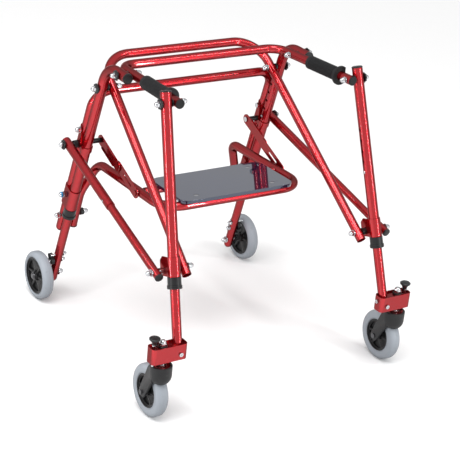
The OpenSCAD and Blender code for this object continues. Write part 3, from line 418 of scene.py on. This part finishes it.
def newTree(name, inputs):
    tree = bpy.data.node_groups.new(name, "GeometryNodeTree")
    tree.interface.new_socket(name="Geometry", in_out="INPUT", socket_type="NodeSocketGeometry")
    ids = {}
    for label, kind in inputs:
        socket = tree.interface.new_socket(name=label, in_out="INPUT", socket_type=kind)
        ids[label] = socket.identifier
    tree.interface.new_socket(name="Geometry", in_out="OUTPUT", socket_type="NodeSocketGeometry")
    return tree, ids, tree.nodes.new("NodeGroupInput"), tree.nodes.new("NodeGroupOutput")


def closeTree(tree, source, ins, outs):
    realize = tree.nodes.new("GeometryNodeRealizeInstances")
    paint = tree.nodes.new("GeometryNodeSetMaterial")
    tree.links.new(source, realize.inputs["Geometry"])
    tree.links.new(realize.outputs["Geometry"], paint.inputs["Geometry"])
    tree.links.new(ins.outputs["Finish"], paint.inputs["Material"])
    tree.links.new(paint.outputs["Geometry"], outs.inputs["Geometry"])


# copies of one part set evenly round the Z axis
def makeRoundSet():
    tree, ids, ins, outs = newTree("roundSet", [
        ("Count", "NodeSocketInt"), ("Radius", "NodeSocketFloat"), ("Finish", "NodeSocketMaterial")])
    ring = tree.nodes.new("GeometryNodeMeshCircle")
    index = tree.nodes.new("GeometryNodeInputIndex")
    step = tree.nodes.new("ShaderNodeMath")
    step.operation = "DIVIDE"
    step.inputs[0].default_value = 2 * math.pi
    turn = tree.nodes.new("ShaderNodeMath")
    turn.operation = "MULTIPLY"
    spin = tree.nodes.new("ShaderNodeCombineXYZ")
    toTurn = tree.nodes.new("FunctionNodeEulerToRotation")
    copies = tree.nodes.new("GeometryNodeInstanceOnPoints")
    link = tree.links.new
    link(ins.outputs["Count"], ring.inputs["Vertices"])
    link(ins.outputs["Radius"], ring.inputs["Radius"])
    link(ins.outputs["Count"], step.inputs[1])
    link(index.outputs[0], turn.inputs[0])
    link(step.outputs[0], turn.inputs[1])
    link(turn.outputs[0], spin.inputs["Z"])
    link(spin.outputs[0], toTurn.inputs[0])
    link(ring.outputs["Mesh"], copies.inputs["Points"])
    link(ins.outputs["Geometry"], copies.inputs["Instance"])
    link(toTurn.outputs[0], copies.inputs["Rotation"])
    closeTree(tree, copies.outputs["Instances"], ins, outs)
    return tree, ids


# copies of one part in a row up the Z axis
def makeRowSet():
    tree, ids, ins, outs = newTree("rowSet", [
        ("Count", "NodeSocketInt"), ("Pitch", "NodeSocketFloat"), ("Finish", "NodeSocketMaterial")])
    row = tree.nodes.new("GeometryNodeMeshLine")
    offset = tree.nodes.new("ShaderNodeCombineXYZ")
    copies = tree.nodes.new("GeometryNodeInstanceOnPoints")
    link = tree.links.new
    link(ins.outputs["Count"], row.inputs["Count"])
    link(ins.outputs["Pitch"], offset.inputs["Z"])
    link(offset.outputs[0], row.inputs["Offset"])
    link(row.outputs["Mesh"], copies.inputs["Points"])
    link(ins.outputs["Geometry"], copies.inputs["Instance"])
    closeTree(tree, copies.outputs["Instances"], ins, outs)
    return tree, ids


# cross-recessed screw heads standing on the vertices of a mesh
def makeScrewHeads():
    tree, ids, ins, outs = newTree("screwHeads", [
        ("Head Radius", "NodeSocketFloat"), ("Head Height", "NodeSocketFloat"),
        ("Slot Size", "NodeSocketVector"), ("Tilt", "NodeSocketVector"), ("Finish", "NodeSocketMaterial")])
    head = tree.nodes.new("GeometryNodeMeshCylinder")
    head.inputs["Vertices"].default_value = 32
    slot = tree.nodes.new("GeometryNodeMeshCube")
    lift = tree.nodes.new("ShaderNodeCombineXYZ")
    half = tree.nodes.new("ShaderNodeMath")
    half.operation = "DIVIDE"
    half.inputs[1].default_value = 2.0
    across = tree.nodes.new("GeometryNodeTransform")
    along = tree.nodes.new("GeometryNodeTransform")
    along.inputs["Rotation"].default_value = (0, 0, math.pi / 2)
    toTurn = tree.nodes.new("FunctionNodeEulerToRotation")
    copies = tree.nodes.new("GeometryNodeInstanceOnPoints")
    link = tree.links.new
    link(ins.outputs["Head Radius"], head.inputs["Radius"])
    link(ins.outputs["Head Height"], head.inputs["Depth"])
    link(ins.outputs["Slot Size"], slot.inputs["Size"])
    link(ins.outputs["Head Height"], half.inputs[0])
    link(half.outputs[0], lift.inputs["Z"])
    cutSoFar = head.outputs["Mesh"]
    for turn in (across, along):
        cut = tree.nodes.new("GeometryNodeMeshBoolean")
        cut.solver = "EXACT"
        link(slot.outputs["Mesh"], turn.inputs["Geometry"])
        link(lift.outputs[0], turn.inputs["Translation"])
        link(cutSoFar, cut.inputs["Mesh 1"])
        link(turn.outputs["Geometry"], cut.inputs["Mesh 2"])
        cutSoFar = cut.outputs["Mesh"]
    link(ins.outputs["Geometry"], copies.inputs["Points"])
    link(cutSoFar, copies.inputs["Instance"])
    link(ins.outputs["Tilt"], toTurn.inputs[0])
    link(toTurn.outputs[0], copies.inputs["Rotation"])
    closeTree(tree, copies.outputs["Instances"], ins, outs)
    return tree, ids


roundSet, rowSet, screwHeads = makeRoundSet(), makeRowSet(), makeScrewHeads()


# runs a tree on a mesh and returns the result as a plain mesh
def grown(treeAndIds, mesh, finish, **values):
    tree, ids = treeAndIds
    holder = bpy.data.objects.new("holder", mesh)
    bpy.context.scene.collection.objects.link(holder)
    modifier = holder.modifiers.new("grow", "NODES")
    modifier.node_group = tree
    modifier[ids["Finish"]] = paints[finish]
    for label, value in values.items():
        modifier[ids[label]] = value
    graph = bpy.context.evaluated_depsgraph_get()
    result = bpy.data.meshes.new_from_object(holder.evaluated_get(graph))
    holder.modifiers.remove(modifier)
    bpy.data.objects.remove(holder)
    smooth(result)
    return result


print("node trees made")

# wheels: grey tyres on deep black spoked hubs
wheelLook = dict(radius=62.5, width=30.0, crown=11.4, lipDeep=1.1, seam=0.25, segments=112)
rearHub = dict(radius=47.5, width=27.0, boss=12.0, bossLong=29.0, bore=5.06, spokes=6, spokeWide=6.5)
spokeLook = dict(narrow=0.62, lift=0.9)
frontHub = dict(radius=40.0, width=27.0, boss=12.0, bossLong=29.0, bore=4.06, spokes=6, spokeWide=5.5)


def tyreMesh(hub, name):
    half, outer, crown = wheelLook["width"] / 2, wheelLook["radius"], wheelLook["crown"]
    inner, lip, seam = hub["radius"] + 0.05, wheelLook["lipDeep"], wheelLook["seam"]
    wall = outer - crown
    right = [(inner, half - 2.2), (inner + 0.8, half - 1.0), (inner + 1.8, half - 0.5)]
    right += [(inner + 2.3, half - 0.5 - lip * 0.5), (inner + 2.9, half - 0.4)]
    right += arc(wall, half - crown, crown, 90, 8, 12)
    right += [(outer - seam, 0.9), (outer, 0.4)]
    section = right + [(r, -h) for r, h in reversed(right)]
    return lathe(section, name, wheelLook["segments"], 40)


def hubMesh(hub, name):
    r, half, boss = hub["radius"], hub["width"] / 2, hub["boss"]
    longHalf, bore = hub["bossLong"] / 2, hub["bore"]
    upper = [(bore, longHalf), (boss - 2.5, longHalf), (boss - 1.0, longHalf - 0.6), (boss, longHalf - 1.8)]
    upper += [(boss + 0.6, 4.5), (boss + 2.0, 3.0), (r - 8.0, 2.4), (r - 6.2, 3.4), (r - 5.6, half - 4.2)]
    upper += [(r - 4.4, half - 3.4), (r - 3.6, half - 3.2), (r - 3.2, half - 0.6), (r - 2.4, half)]
    upper += [(r - 0.7, half), (r, half - 0.8)]
    section = upper + [(a, -b) for a, b in reversed(upper)]
    plain = lathe(section, name, 96, 30)
    inner, outer, wide = boss - 1.0, r - 5.0, hub["spokeWide"]
    tall, low = half - 3.6, half - 7.5
    mid = (inner + outer) / 2
    outline = [(inner, tall), (mid, low + 1.2), (outer, low + 2.6), (outer, -low - 2.6), (mid, -low - 1.2),
               (inner, -tall)]
    verts, faces, count = [], [], len(outline)
    rim, lift = hub["spokeWide"] / 2 * spokeLook["narrow"], spokeLook["lift"]
    layers = ((-rim, lift), (-wide / 2, 0.0), (wide / 2, 0.0), (rim, lift))
    for y, pull in layers:
        for x, z in outline:
            verts.append((x * mm, y * mm, (z + (pull if z > 0 else -pull)) * mm))
    for k in range(len(layers)):
        a, b = k * count, (k + 1) % len(layers) * count
        for j in range(count):
            i = (j + 1) % count
            faces.append((a + j, a + i, b + i, b + j))
    spoke = meshFrom(verts, faces, name + "Spoke")
    spokes = grown(roundSet, spoke, "blackPlastic", Count=hub["spokes"], Radius=0.0001)
    return joined([plain, spokes], name)


for place, hub in (("rear", rearHub), ("front", frontHub)):
    tyre, hubShape = tyreMesh(hub, place + "TyreShape"), hubMesh(hub, place + "HubShape")
    for side, sign in sides:
        low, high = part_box(f"{place}_tyre_{side}")
        spot = facing((low + high) / 2, (sign, 0, 0))
        body = f"{place}_wheel_{side}"
        addPiece(placed(tyre, spot), f"{place}Tyre_{side}", "greyTyre", body, [f"{place}_tyre_{side}"])
        addPiece(placed(hubShape, spot), f"{place}Hub_{side}", "blackPlastic", body,
                 [f"{place}_hub_{side}"])
print("wheels made")

# hand grips: ribbed rubber with a flange, and the plugs in the bar's ends
gripLook = dict(start=(227.510, -21.380, 686.051), along=(0.040827, -0.998215, 0.043577), length=118.0,
                bar=11.15, radius=16.5, ribs=22, ribPitch=4.1, firstRib=11.0, flange=23.0,
                flangeThick=6.0, flatX=245.59)
plugLook = dict(tip=(234.083, -182.093, 693.0665), bar=21.4, deep=7.0, wall=1.4, teeth=24)


def gripMesh():
    length, bar, r = gripLook["length"], gripLook["bar"], gripLook["radius"]
    body = [(bar, 0.6), (bar + 0.6, 0.0), (r - 1.0, 0.0), (r, 1.0), (r, 5.2), (r - 0.5, 6.2)]
    body += [(r - 1.3, 6.8), (r - 1.3, length - 15.0), (r - 0.4, length - 10.0), (r + 1.2, length - 7.0)]
    body += [(r + 1.2, length - 6.2), (bar, length - 6.2)]
    sleeve = lathe(body, "gripSleeve", 64)
    rib = lathe([(r - 2.0, -1.45), (r - 0.5, -1.3), (r, -0.8), (r, 0.8), (r - 0.5, 1.3), (r - 2.0, 1.45)],
                "gripRib", 64)
    ribs = grown(rowSet, rib, "gripRubber", Count=gripLook["ribs"], Pitch=gripLook["ribPitch"] * mm)
    ribs.transform(Matrix.Translation((0, 0, gripLook["firstRib"] * mm)))
    wide, thick, low = gripLook["flange"], gripLook["flangeThick"], length - 6.5
    disc = [(bar + 0.02, low), (wide - 1.2, low + 0.2)] + arc(wide - 1.5, low + 1.7, 1.5, -70, 0, 4)
    disc += arc(wide - 1.5, low + thick - 1.5, 1.5, 0, 80, 4)
    disc += [(wide - 5.0, low + thick - 0.6), (r - 1.0, low + thick - 0.2), (r - 2.0, low + thick + 0.3)]
    disc += [(bar + 0.02, low + thick + 0.3)]
    return sleeve, ribs, lathe(disc, "gripFlange", 96)


# cuts a mesh with a plane and closes the cut
def trimmed(mesh, point, normal):
    work = bmesh.new()
    work.from_mesh(mesh)
    everything = work.verts[:] + work.edges[:] + work.faces[:]
    cut = bmesh.ops.bisect_plane(work, geom=everything, plane_co=point, plane_no=normal, clear_outer=True)
    edges = [e for e in cut["geom_cut"] if isinstance(e, bmesh.types.BMEdge)]
    bmesh.ops.triangle_fill(work, edges=edges, use_beauty=True)
    bmesh.ops.recalc_face_normals(work, faces=work.faces)
    work.to_mesh(mesh)
    work.free()
    smooth(mesh)
    return mesh


def plugMesh(d, deep):
    spigot, head = d / 2 - plugLook["wall"] - 0.05, d / 2 + 0.3
    section = [(0.0, -deep), (spigot, -deep), (spigot, 0.0), (head - 0.5, 0.0), (head, 0.5), (head, 2.2)]
    section += arc(head - 2.4, 1.4, 2.4, 20, 78, 4) + [(head - 4.2, 3.8), (head - 4.8, 3.2), (0.0, 3.2)]
    plug = lathe(section, "plug", 48)
    tooth = lathe([(0.0, 0.4), (0.55, 0.4), (0.55, 2.4), (0.0, 2.4)], "plugTooth", 8)
    teeth = grown(roundSet, tooth, "blackPlastic", Count=plugLook["teeth"], Radius=(head - 0.3) * mm)
    return joined([plug, teeth], "plugWithTeeth")


sleeve, ribs, flange = gripMesh()
gripSpot = facing(at(*gripLook["start"]), gripLook["along"])
plugSpot = facing(at(*plugLook["tip"]), gripLook["along"])
rightGrip = [placed(sleeve, gripSpot), placed(ribs, gripSpot)]
rightGrip.append(trimmed(placed(flange, gripSpot), at(gripLook["flatX"], 0, 0), (1, 0, 0)))
rightGrip.append(placed(plugMesh(plugLook["bar"], plugLook["deep"]), plugSpot))
bothGrips = rightGrip + [placed(mesh, mirrorX) for mesh in rightGrip]
addPiece(joined(bothGrips, "handGrips"), "handGrips", "gripRubber", "handlebar", ["handlebar_grips"])
print("grips made")

# lobed washers between the tubes and the dome nuts
washerLook = dict(lobes=9, lobeRadius=2.6, ring=9.9, inner=8.7, band=10.8, thick=4.4)
wide, thick = washerLook["lobeRadius"], washerLook["thick"]
lobe = lathe([(0.0, 0.3), (wide - 0.6, 0.3), (wide, 0.9), (wide, thick - 0.9), (wide - 0.6, thick - 0.3),
              (0.0, thick - 0.3)], "washerLobe", 14)
band = lathe([(washerLook["inner"], 0.05), (washerLook["band"], 0.05), (washerLook["band"], thick - 0.4),
              (washerLook["band"] - 0.6, thick), (washerLook["inner"], thick)], "washerBand", 48)
lobes = grown(roundSet, lobe, "blackPlastic", Count=washerLook["lobes"], Radius=washerLook["ring"] * mm)
washer = joined([band, lobes], "lobedWasher")
outward = (1, 0, 0)
washerSpots = {
    "rear_frame": [((264.2, 48.5, 683.0), outward), ((265.81, 134.163, 621.5), outward),
                   ((305.009, 210.012, 456.224), (0.997566, 0.028975, 0.063426))],
    "front_post": [((274.052, -169.116, 692.5), outward)],
}
for side, sign in sides:
    flipSide = toSide(sign)
    for group, spots in washerSpots.items():
        meshes = [placed(washer, flipSide @ facing(at(*spot), way)) for spot, way in spots]
        body = group if group == "rear_frame" else f"{group}_{side}"
        addPiece(joined(meshes, "washers"), f"{group}Washers_{side}", "blackPlastic", body)
print("washers made")

# seat screws with cross recesses, standing in the board's counterbores
screwLook = dict(radius=5.6, height=1.3, slot=(6.4, 1.3, 1.6), across=106.86, reach=(208.0, 316.5),
                 seatRear=(231.556, 383.5), tilt=2.2, lift=18.2)
tilt = math.radians(screwLook["tilt"])
screwPoints = []
for reach in screwLook["reach"]:
    for sign in (-1, 1):
        y = screwLook["seatRear"][0] - reach * math.cos(tilt) + screwLook["lift"] * math.sin(tilt)
        z = screwLook["seatRear"][1] + reach * math.sin(tilt) + screwLook["lift"] * math.cos(tilt)
        screwPoints.append(at(sign * screwLook["across"], y, z))
pointMesh = bpy.data.meshes.new("screwPoints")
pointMesh.from_pydata([tuple(p) for p in screwPoints], [], [])
heads = grown(screwHeads, pointMesh, "brightPlate", **{
    "Head Radius": screwLook["radius"] * mm, "Head Height": screwLook["height"] * mm,
    "Slot Size": [v * mm for v in screwLook["slot"]], "Tilt": (-tilt, 0.0, 0.0)})
addPiece(heads, "seatScrewHeads", "brightPlate", "seat")
print("seat screws made")

# caster forks: a round head that runs into two cheeks, hollowed for the tyre
forkLook = dict(stem=(328.0, -340.6), top=147.0, head=26.0, low=98.0, recess=21.0, deep=3.0, bore=6.2,
                inner=17.5, outer=23.5, axle=(36.6, 62.5), tip=13.0, swell=2.0, swellEnd=30.0, swellRun=25.0,
                back=(17.0, 141.0), front=(-1.0, 101.0), cheekTop=144.5, clear=65.9, tinyEdge=0.02)


# where a line from a point touches the round end of the cheek
def touching(point, side):
    (cx, cz), r = forkLook["axle"], forkLook["tip"]
    away = math.atan2(point[1] - cz, point[0] - cx)
    return math.degrees(away + side * math.acos(r / math.dist(point, (cx, cz))))


# moves an outline inward
def inset(outline, depth):
    points, count = [], len(outline)
    for i, (x, z) in enumerate(outline):
        (ax, az), (bx, bz) = outline[i - 1], outline[(i + 1) % count]
        length = math.hypot(bx - ax, bz - az)
        points.append((x + (bz - az) / length * depth, z - (bx - ax) / length * depth))
    return points


# closed solid through equal outlines at several places across
def lofted(layers, name):
    count, verts, faces = len(layers[0][1]), [], []
    for x, outline in layers:
        verts += [(x * mm, y * mm, z * mm) for y, z in outline]
    for k in range(len(layers) - 1):
        a, b = k * count, (k + 1) * count
        faces += [(a + j, a + (j + 1) % count, b + (j + 1) % count, b + j) for j in range(count)]
    faces += [tuple(range(count)), tuple(range((len(layers) - 1) * count, len(layers) * count))]
    return meshFrom(verts, faces, name)


def cheekMesh():
    (cx, cz), tip = forkLook["axle"], forkLook["tip"]
    back, front, cheekTop = forkLook["back"], forkLook["front"], forkLook["cheekTop"]
    outline = [(13.0, cheekTop), back] + arc(cx, cz, tip, touching(back, -1), touching(front, 1) - 360, 20)
    outline += [front] + arc(1.0, 111.0, 7.0, 240, 180, 6) + [(-6.0, cheekTop)]
    inner, outer = forkLook["inner"], forkLook["outer"]
    layers = ((inner, 0.5), (inner + 0.5, 0.0), (outer - 2.6, 0.0), (outer - 1.1, 0.5),
              (outer - 0.3, 1.4), (outer, 2.6))
    mesh = lofted([(x, inset(outline, depth)) for x, depth in layers], "forkCheek")
    for vertex in mesh.vertices:
        across = (vertex.co.x / mm - inner) / (outer - inner)
        nearHead = (forkLook["swellEnd"] - vertex.co.y / mm) / forkLook["swellRun"]
        vertex.co.x += across * forkLook["swell"] * mm * min(1.0, max(0.0, nearHead))
    return mesh


# one closed mesh from solids that are added and cut away
def solidOf(mesh, changes):
    holder = bpy.data.objects.new("solid", mesh)
    bpy.context.scene.collection.objects.link(holder)
    others = []
    for operation, other in changes:
        others.append(bpy.data.objects.new("tool", other))
        bpy.context.scene.collection.objects.link(others[-1])
        change = holder.modifiers.new(operation, "BOOLEAN")
        change.operation, change.object, change.solver = operation, others[-1], "EXACT"
    graph = bpy.context.evaluated_depsgraph_get()
    result = bpy.data.meshes.new_from_object(holder.evaluated_get(graph))
    for used in [holder] + others:
        bpy.data.objects.remove(used)
    work = bmesh.new()
    work.from_mesh(result)
    bmesh.ops.triangulate(work, faces=[face for face in work.faces if len(face.verts) > 4])
    bmesh.ops.dissolve_degenerate(work, edges=work.edges, dist=forkLook["tinyEdge"] * mm)
    work.to_mesh(result)
    work.free()
    smooth(result, 35)
    return result


# section of a plain round bar
def plainRod(radius, low, high):
    return [(0.0, low), (radius, low), (radius, high), (0.0, high)]


def forkMesh():
    top, r, low, recess = forkLook["top"], forkLook["head"], forkLook["low"], forkLook["recess"]
    section = [(0.0, low + 1.2)] + arc(2.0, low + 24.0, r - 2.0, -72, 0, 12) + [(r, top - 1.6)]
    section += arc(r - 1.6, top - 1.6, 1.6, 20, 90, 4) + [(recess, top), (recess, top - forkLook["deep"])]
    head = lathe(section + [(0.0, top - forkLook["deep"])], "forkHead", 96)
    cheek = cheekMesh()
    cx, cz = forkLook["axle"]
    half = forkLook["inner"]
    tyreRoom = lathe(plainRod(forkLook["clear"], -half, half), "tyreRoom", 128)
    tyreRoom = placed(tyreRoom, facing(at(0, cx, cz), (1, 0, 0)))
    bore = lathe(plainRod(forkLook["bore"], low - 5, top + 5), "bore", 48)
    return solidOf(head, [("UNION", cheek), ("UNION", placed(cheek, mirrorX)), ("DIFFERENCE", tyreRoom),
                          ("DIFFERENCE", bore)])


fork = forkMesh()
for side, sign in sides:
    spot = Matrix.Translation(at(sign * forkLook["stem"][0], forkLook["stem"][1], 0))
    body = f"caster_fork_{side}"
    addPiece(placed(fork, spot), f"fork_{side}", "forkPlastic", body, [f"caster_fork_{side}"])
print("forks made")

# red index disc in the fork's head
indexLook = dict(radius=20.6, bore=9.4, deep=2.6)
outer, bore, deep = indexLook["radius"], indexLook["bore"], indexLook["deep"]
disc = lathe([(bore, -deep), (outer, -deep), (outer, -1.2), (outer - 0.5, -0.7), (bore + 0.5, -0.7),
              (bore, -1.0)], "indexDisc", 72)
for side, sign in sides:
    stemX, stemY = forkLook["stem"]
    spot = Matrix.Translation(at(sign * stemX, stemY, forkLook["top"]))
    addPiece(placed(disc, spot), f"indexDisc_{side}", "redPaint", f"caster_fork_{side}")
print("index discs made")

# blue locking rings on the lower bracket nuts
ringLook = dict(radius=5.6, round=1.5, spots=((280.928, 256.318, 302.0), (282.828, 256.318, 302.0)))
lockRing = lathe(arc(ringLook["radius"], 0.0, ringLook["round"], 0, 330, 11), "lockRing", 40)
for side, sign in sides:
    meshes = [placed(lockRing, toSide(sign) @ facing(at(*spot), outward)) for spot in ringLook["spots"]]
    addPiece(joined(meshes, "lockRings"), f"lockRing_{side}", "nylonBlue", "rear_frame")
print("lock rings made")

# black caps over the plugs in the strut rods and the seat's feet
capLook = dict(rodEnd=(315.675, -282.212, 333.160), rodAlong=(0.043492, -0.969517, -0.241132), rod=18.8,
               foot=(229.031, 287.308, 200.0), footAlong=(0.0, 0.290702, -0.956814), tube=22.2)


def capMesh(d):
    r = d / 2
    section = [(r + 0.32, 0.05), (r + 0.55, 0.05), (r + 0.55, 2.2)] + arc(r - 0.95, 2.2, 1.5, 0, 75, 4)
    section += [(r - 2.6, 4.35), (r - 4.2, 4.6), (0.0, 4.6), (0.0, 4.05), (r - 2.6, 4.05), (r + 0.32, 2.55)]
    return lathe(section, "endCap", 48)


rodCap = placed(capMesh(capLook["rod"]), facing(at(*capLook["rodEnd"]), capLook["rodAlong"]))
footCap = placed(capMesh(capLook["tube"]), facing(at(*capLook["foot"]), capLook["footAlong"]))
for side, sign in sides:
    flipSide = toSide(sign)
    addPiece(placed(rodCap, flipSide), f"rodCap_{side}", "blackPlastic", f"strut_rod_{side}")
addPiece(joined([footCap, placed(footCap, mirrorX)], "footCaps"), "footCaps", "blackPlastic", "seat")
print("caps made")

# casters: steel sleeves on the swivel pins, black collars under the stem nuts, screw heads on the housings
casterLook = dict(pinOut=21.5, pin=4.0, webTop=192.0, knob=202.0, housingLow=158.0, collar=10.9,
                  stemHole=8.55, stemRing=10.7, front=(288.77, -359.2, 172.0), end=(267.9, -338.94, 182.0))
(stemX, stemY), forkTop = forkLook["stem"], forkLook["top"]
pinX = stemX + casterLook["pinOut"]
pinR, top, low = casterLook["pin"], casterLook["knob"], casterLook["webTop"] + 0.5
neck = lathe([(pinR + 0.03, low), (pinR + 0.9, low), (pinR + 1.1, low + 0.3), (pinR + 1.1, top - 3.2),
              (pinR + 2.0, top - 2.6), (pinR + 2.0, top - 0.1), (pinR + 0.03, top - 0.1)], "pinNeck", 40)
low, top = forkTop + 1.0, casterLook["housingLow"] - 0.6
tipSleeve = lathe([(pinR + 0.03, low), (pinR + 0.4, low), (pinR + 0.5, low + 0.3), (pinR + 0.5, top),
                   (pinR + 0.03, top)], "pinTip", 40)
low, r = casterLook["webTop"] + 0.05, casterLook["collar"]
collar = lathe([(r - 1.0, low), (r, low + 0.2), (r, low + 3.6), (r - 0.5, low + 4.2), (r - 1.2, low + 4.2)],
               "nutCollar", 56)
low, hole, r = forkTop + 0.6, casterLook["stemHole"], casterLook["stemRing"]
stemRing = lathe([(hole, low), (r - 0.3, low), (r, low + 0.3), (r, low + 1.6), (r - 0.3, low + 1.9),
                  (hole, low + 1.9)], "stemRing", 56)
headLook = {"Head Radius": 4.9 * mm, "Head Height": 1.2 * mm, "Slot Size": (5.6 * mm, 1.2 * mm, 1.4 * mm)}
for side, sign in sides:
    flipSide = toSide(sign)
    pinSpot = flipSide @ Matrix.Translation(at(pinX, stemY, 0))
    stemSpot = flipSide @ Matrix.Translation(at(stemX, stemY, 0))
    addPiece(joined([placed(neck, pinSpot), placed(tipSleeve, pinSpot)], "pinSleeves"), f"pinSleeve_{side}",
             "brightPlate", f"swivel_pin_{side}")
    addPiece(placed(collar, stemSpot), f"nutCollar_{side}", "blackPlastic", f"front_leg_{side}")
    addPiece(placed(stemRing, stemSpot), f"stemRing_{side}", "brightPlate", f"front_leg_{side}")
    heads, quarter = [], math.pi / 2
    screwSpots = ((casterLook["front"], (quarter, 0, 0)), (casterLook["end"], (0, -sign * quarter, 0)))
    for spot, tilted in screwSpots:
        point = bpy.data.meshes.new("screwPoint")
        point.from_pydata([tuple(at(sign * spot[0], spot[1], spot[2]))], [], [])
        heads.append(grown(screwHeads, point, "brightPlate", Tilt=tilted, **headLook))
    addPiece(joined(heads, "footScrewHeads"), f"footScrews_{side}", "brightPlate", f"front_leg_{side}")
print("caster details made")

# dark caps on the rear axles
axleLook = dict(gap=15.4)
capOutside = [(0.0, 4.7), (4.2, 4.7), (6.2, 4.3), (7.0, 3.2), (7.3, 1.7), (9.3, 1.7), (9.9, 1.1), (9.9, 0.15)]
capInside = [(9.65, 0.15), (9.65, 1.45), (6.55, 1.45), (6.55, 4.05), (0.0, 4.05)]
axleCap = lathe(capOutside + capInside, "axleCap", 56)
for side, sign in sides:
    boxLow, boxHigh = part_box(f"rear_tyre_{side}")
    middle = (boxLow + boxHigh) / 2
    spot = facing(Vector((middle.x + sign * axleLook["gap"] * mm, middle.y, middle.z)), (sign, 0, 0))
    addPiece(placed(axleCap, spot), f"axleCap_{side}", "darkSteel", f"rear_leg_{side}")
print("axle caps made")

# studio: pale floor, even sky, soft key and narrow strips for the tubes' highlights
studio = dict(floorSeen=1.0, floorBounce=0.55, sky=0.60, skySeen=0.95, keyPower=1.35, keySize=34.0,
              keyPlace=(-0.6, -0.9, 3.2), stripPower=22.0, floorSize=30.0,
              strips=(("overLeft", 1.0, (-1.8, 0.1, 2.1), (0.0, 0.1, 0.45), 2.4, 0.13),
                      ("frontRight", 1.0, (1.25, -2.5, 0.85), (0.1, -0.25, 0.45), 0.13, 1.7),
                      ("farLeft", 1.0, (-2.6, -0.3, 0.75), (0.0, -0.25, 0.45), 0.11, 1.5),
                      ("overRight", 0.45, (1.3, -1.2, 2.2), (0.0, 0.1, 0.55), 0.08, 2.0)))


# one where a ray shows the thing itself: seen, mirrored or through something clear
def shownRay(tree):
    path = tree.nodes.new("ShaderNodeLightPath")
    both = mathNode(tree, "MAXIMUM", path.outputs["Is Camera Ray"], path.outputs["Is Glossy Ray"])
    return mathNode(tree, "MAXIMUM", both, path.outputs["Is Transmission Ray"])


def makeFloor():
    half = studio["floorSize"] / 2
    mesh = bpy.data.meshes.new("floor")
    corners = [(-half, -half, 0), (half, -half, 0), (half, half, 0), (-half, half, 0)]
    mesh.from_pydata(corners, [], [(0, 1, 2, 3)])
    floor = bpy.data.objects.new("floor", mesh)
    bpy.context.scene.collection.objects.link(floor)
    material = bpy.data.materials.new("floorPaper")
    material.use_nodes = True
    tree = material.node_tree
    shader = tree.nodes["Principled BSDF"]
    mix = tree.nodes.new("ShaderNodeMix")
    mix.data_type = "RGBA"
    mix.inputs[6].default_value = (*[studio["floorBounce"]] * 3, 1)
    mix.inputs[7].default_value = (*[studio["floorSeen"]] * 3, 1)
    tree.links.new(shownRay(tree), mix.inputs[0])
    tree.links.new(mix.outputs[2], shader.inputs["Base Color"])
    shader.inputs["Roughness"].default_value = 0.9
    shader.inputs["Specular IOR Level"].default_value = 0.1
    mesh.materials.append(material)
    floor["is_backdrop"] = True


def makeSky():
    world = bpy.data.worlds.new("studioSky")
    bpy.context.scene.world = world
    world.use_nodes = True
    tree = world.node_tree
    tree.nodes.clear()
    strength = tree.nodes.new("ShaderNodeMapRange")
    strength.inputs["To Min"].default_value = studio["sky"]
    strength.inputs["To Max"].default_value = studio["skySeen"]
    sky = tree.nodes.new("ShaderNodeBackground")
    out = tree.nodes.new("ShaderNodeOutputWorld")
    tree.links.new(shownRay(tree), strength.inputs["Value"])
    tree.links.new(strength.outputs[0], sky.inputs["Strength"])
    tree.links.new(sky.outputs[0], out.inputs["Surface"])


def makeLamp(name, kind, power, place, target, size=None, tall=None):
    data = bpy.data.lights.new(name, kind)
    data.energy = power
    if kind == "AREA":
        data.shape = "RECTANGLE"
        data.size, data.size_y = size, tall
    else:
        data.angle = math.radians(size)
    lamp = bpy.data.objects.new(name, data)
    lamp.location = place
    lamp.visible_camera = False
    lamp.rotation_euler = (Vector(target) - Vector(place)).to_track_quat("-Z", "Y").to_euler()
    bpy.context.scene.collection.objects.link(lamp)


makeFloor()
makeSky()
makeLamp("key", "SUN", studio["keyPower"], studio["keyPlace"], (0, 0, 0), studio["keySize"])
for name, share, place, target, wide, tall in studio["strips"]:
    makeLamp(name, "AREA", studio["stripPower"] * share, place, target, wide, tall)

# camera at the photograph's place
cameraLook = dict(place=(-1912.3, -2846.05, 1855.8), right=(0.84182615, -0.53235404, 0.08903885),
                  up=(0.15651255, 0.39863829, 0.90365443), lens=120.47)
cameraData = bpy.data.cameras.new("camera")
cameraData.sensor_width = 36.0
cameraData.sensor_fit = "HORIZONTAL"
cameraData.lens = cameraLook["lens"]
cameraData.clip_end = 60.0
camera = bpy.data.objects.new("camera", cameraData)
right, up = Vector(cameraLook["right"]), Vector(cameraLook["up"])
back = right.cross(up)
turn = Matrix((right, up, back)).transposed().to_4x4()
camera.matrix_world = Matrix.Translation(at(*cameraLook["place"])) @ turn
bpy.context.scene.collection.objects.link(camera)
bpy.context.scene.camera = camera
bpy.context.scene.view_settings.view_transform = "Standard"
print("studio and camera made")

low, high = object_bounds()
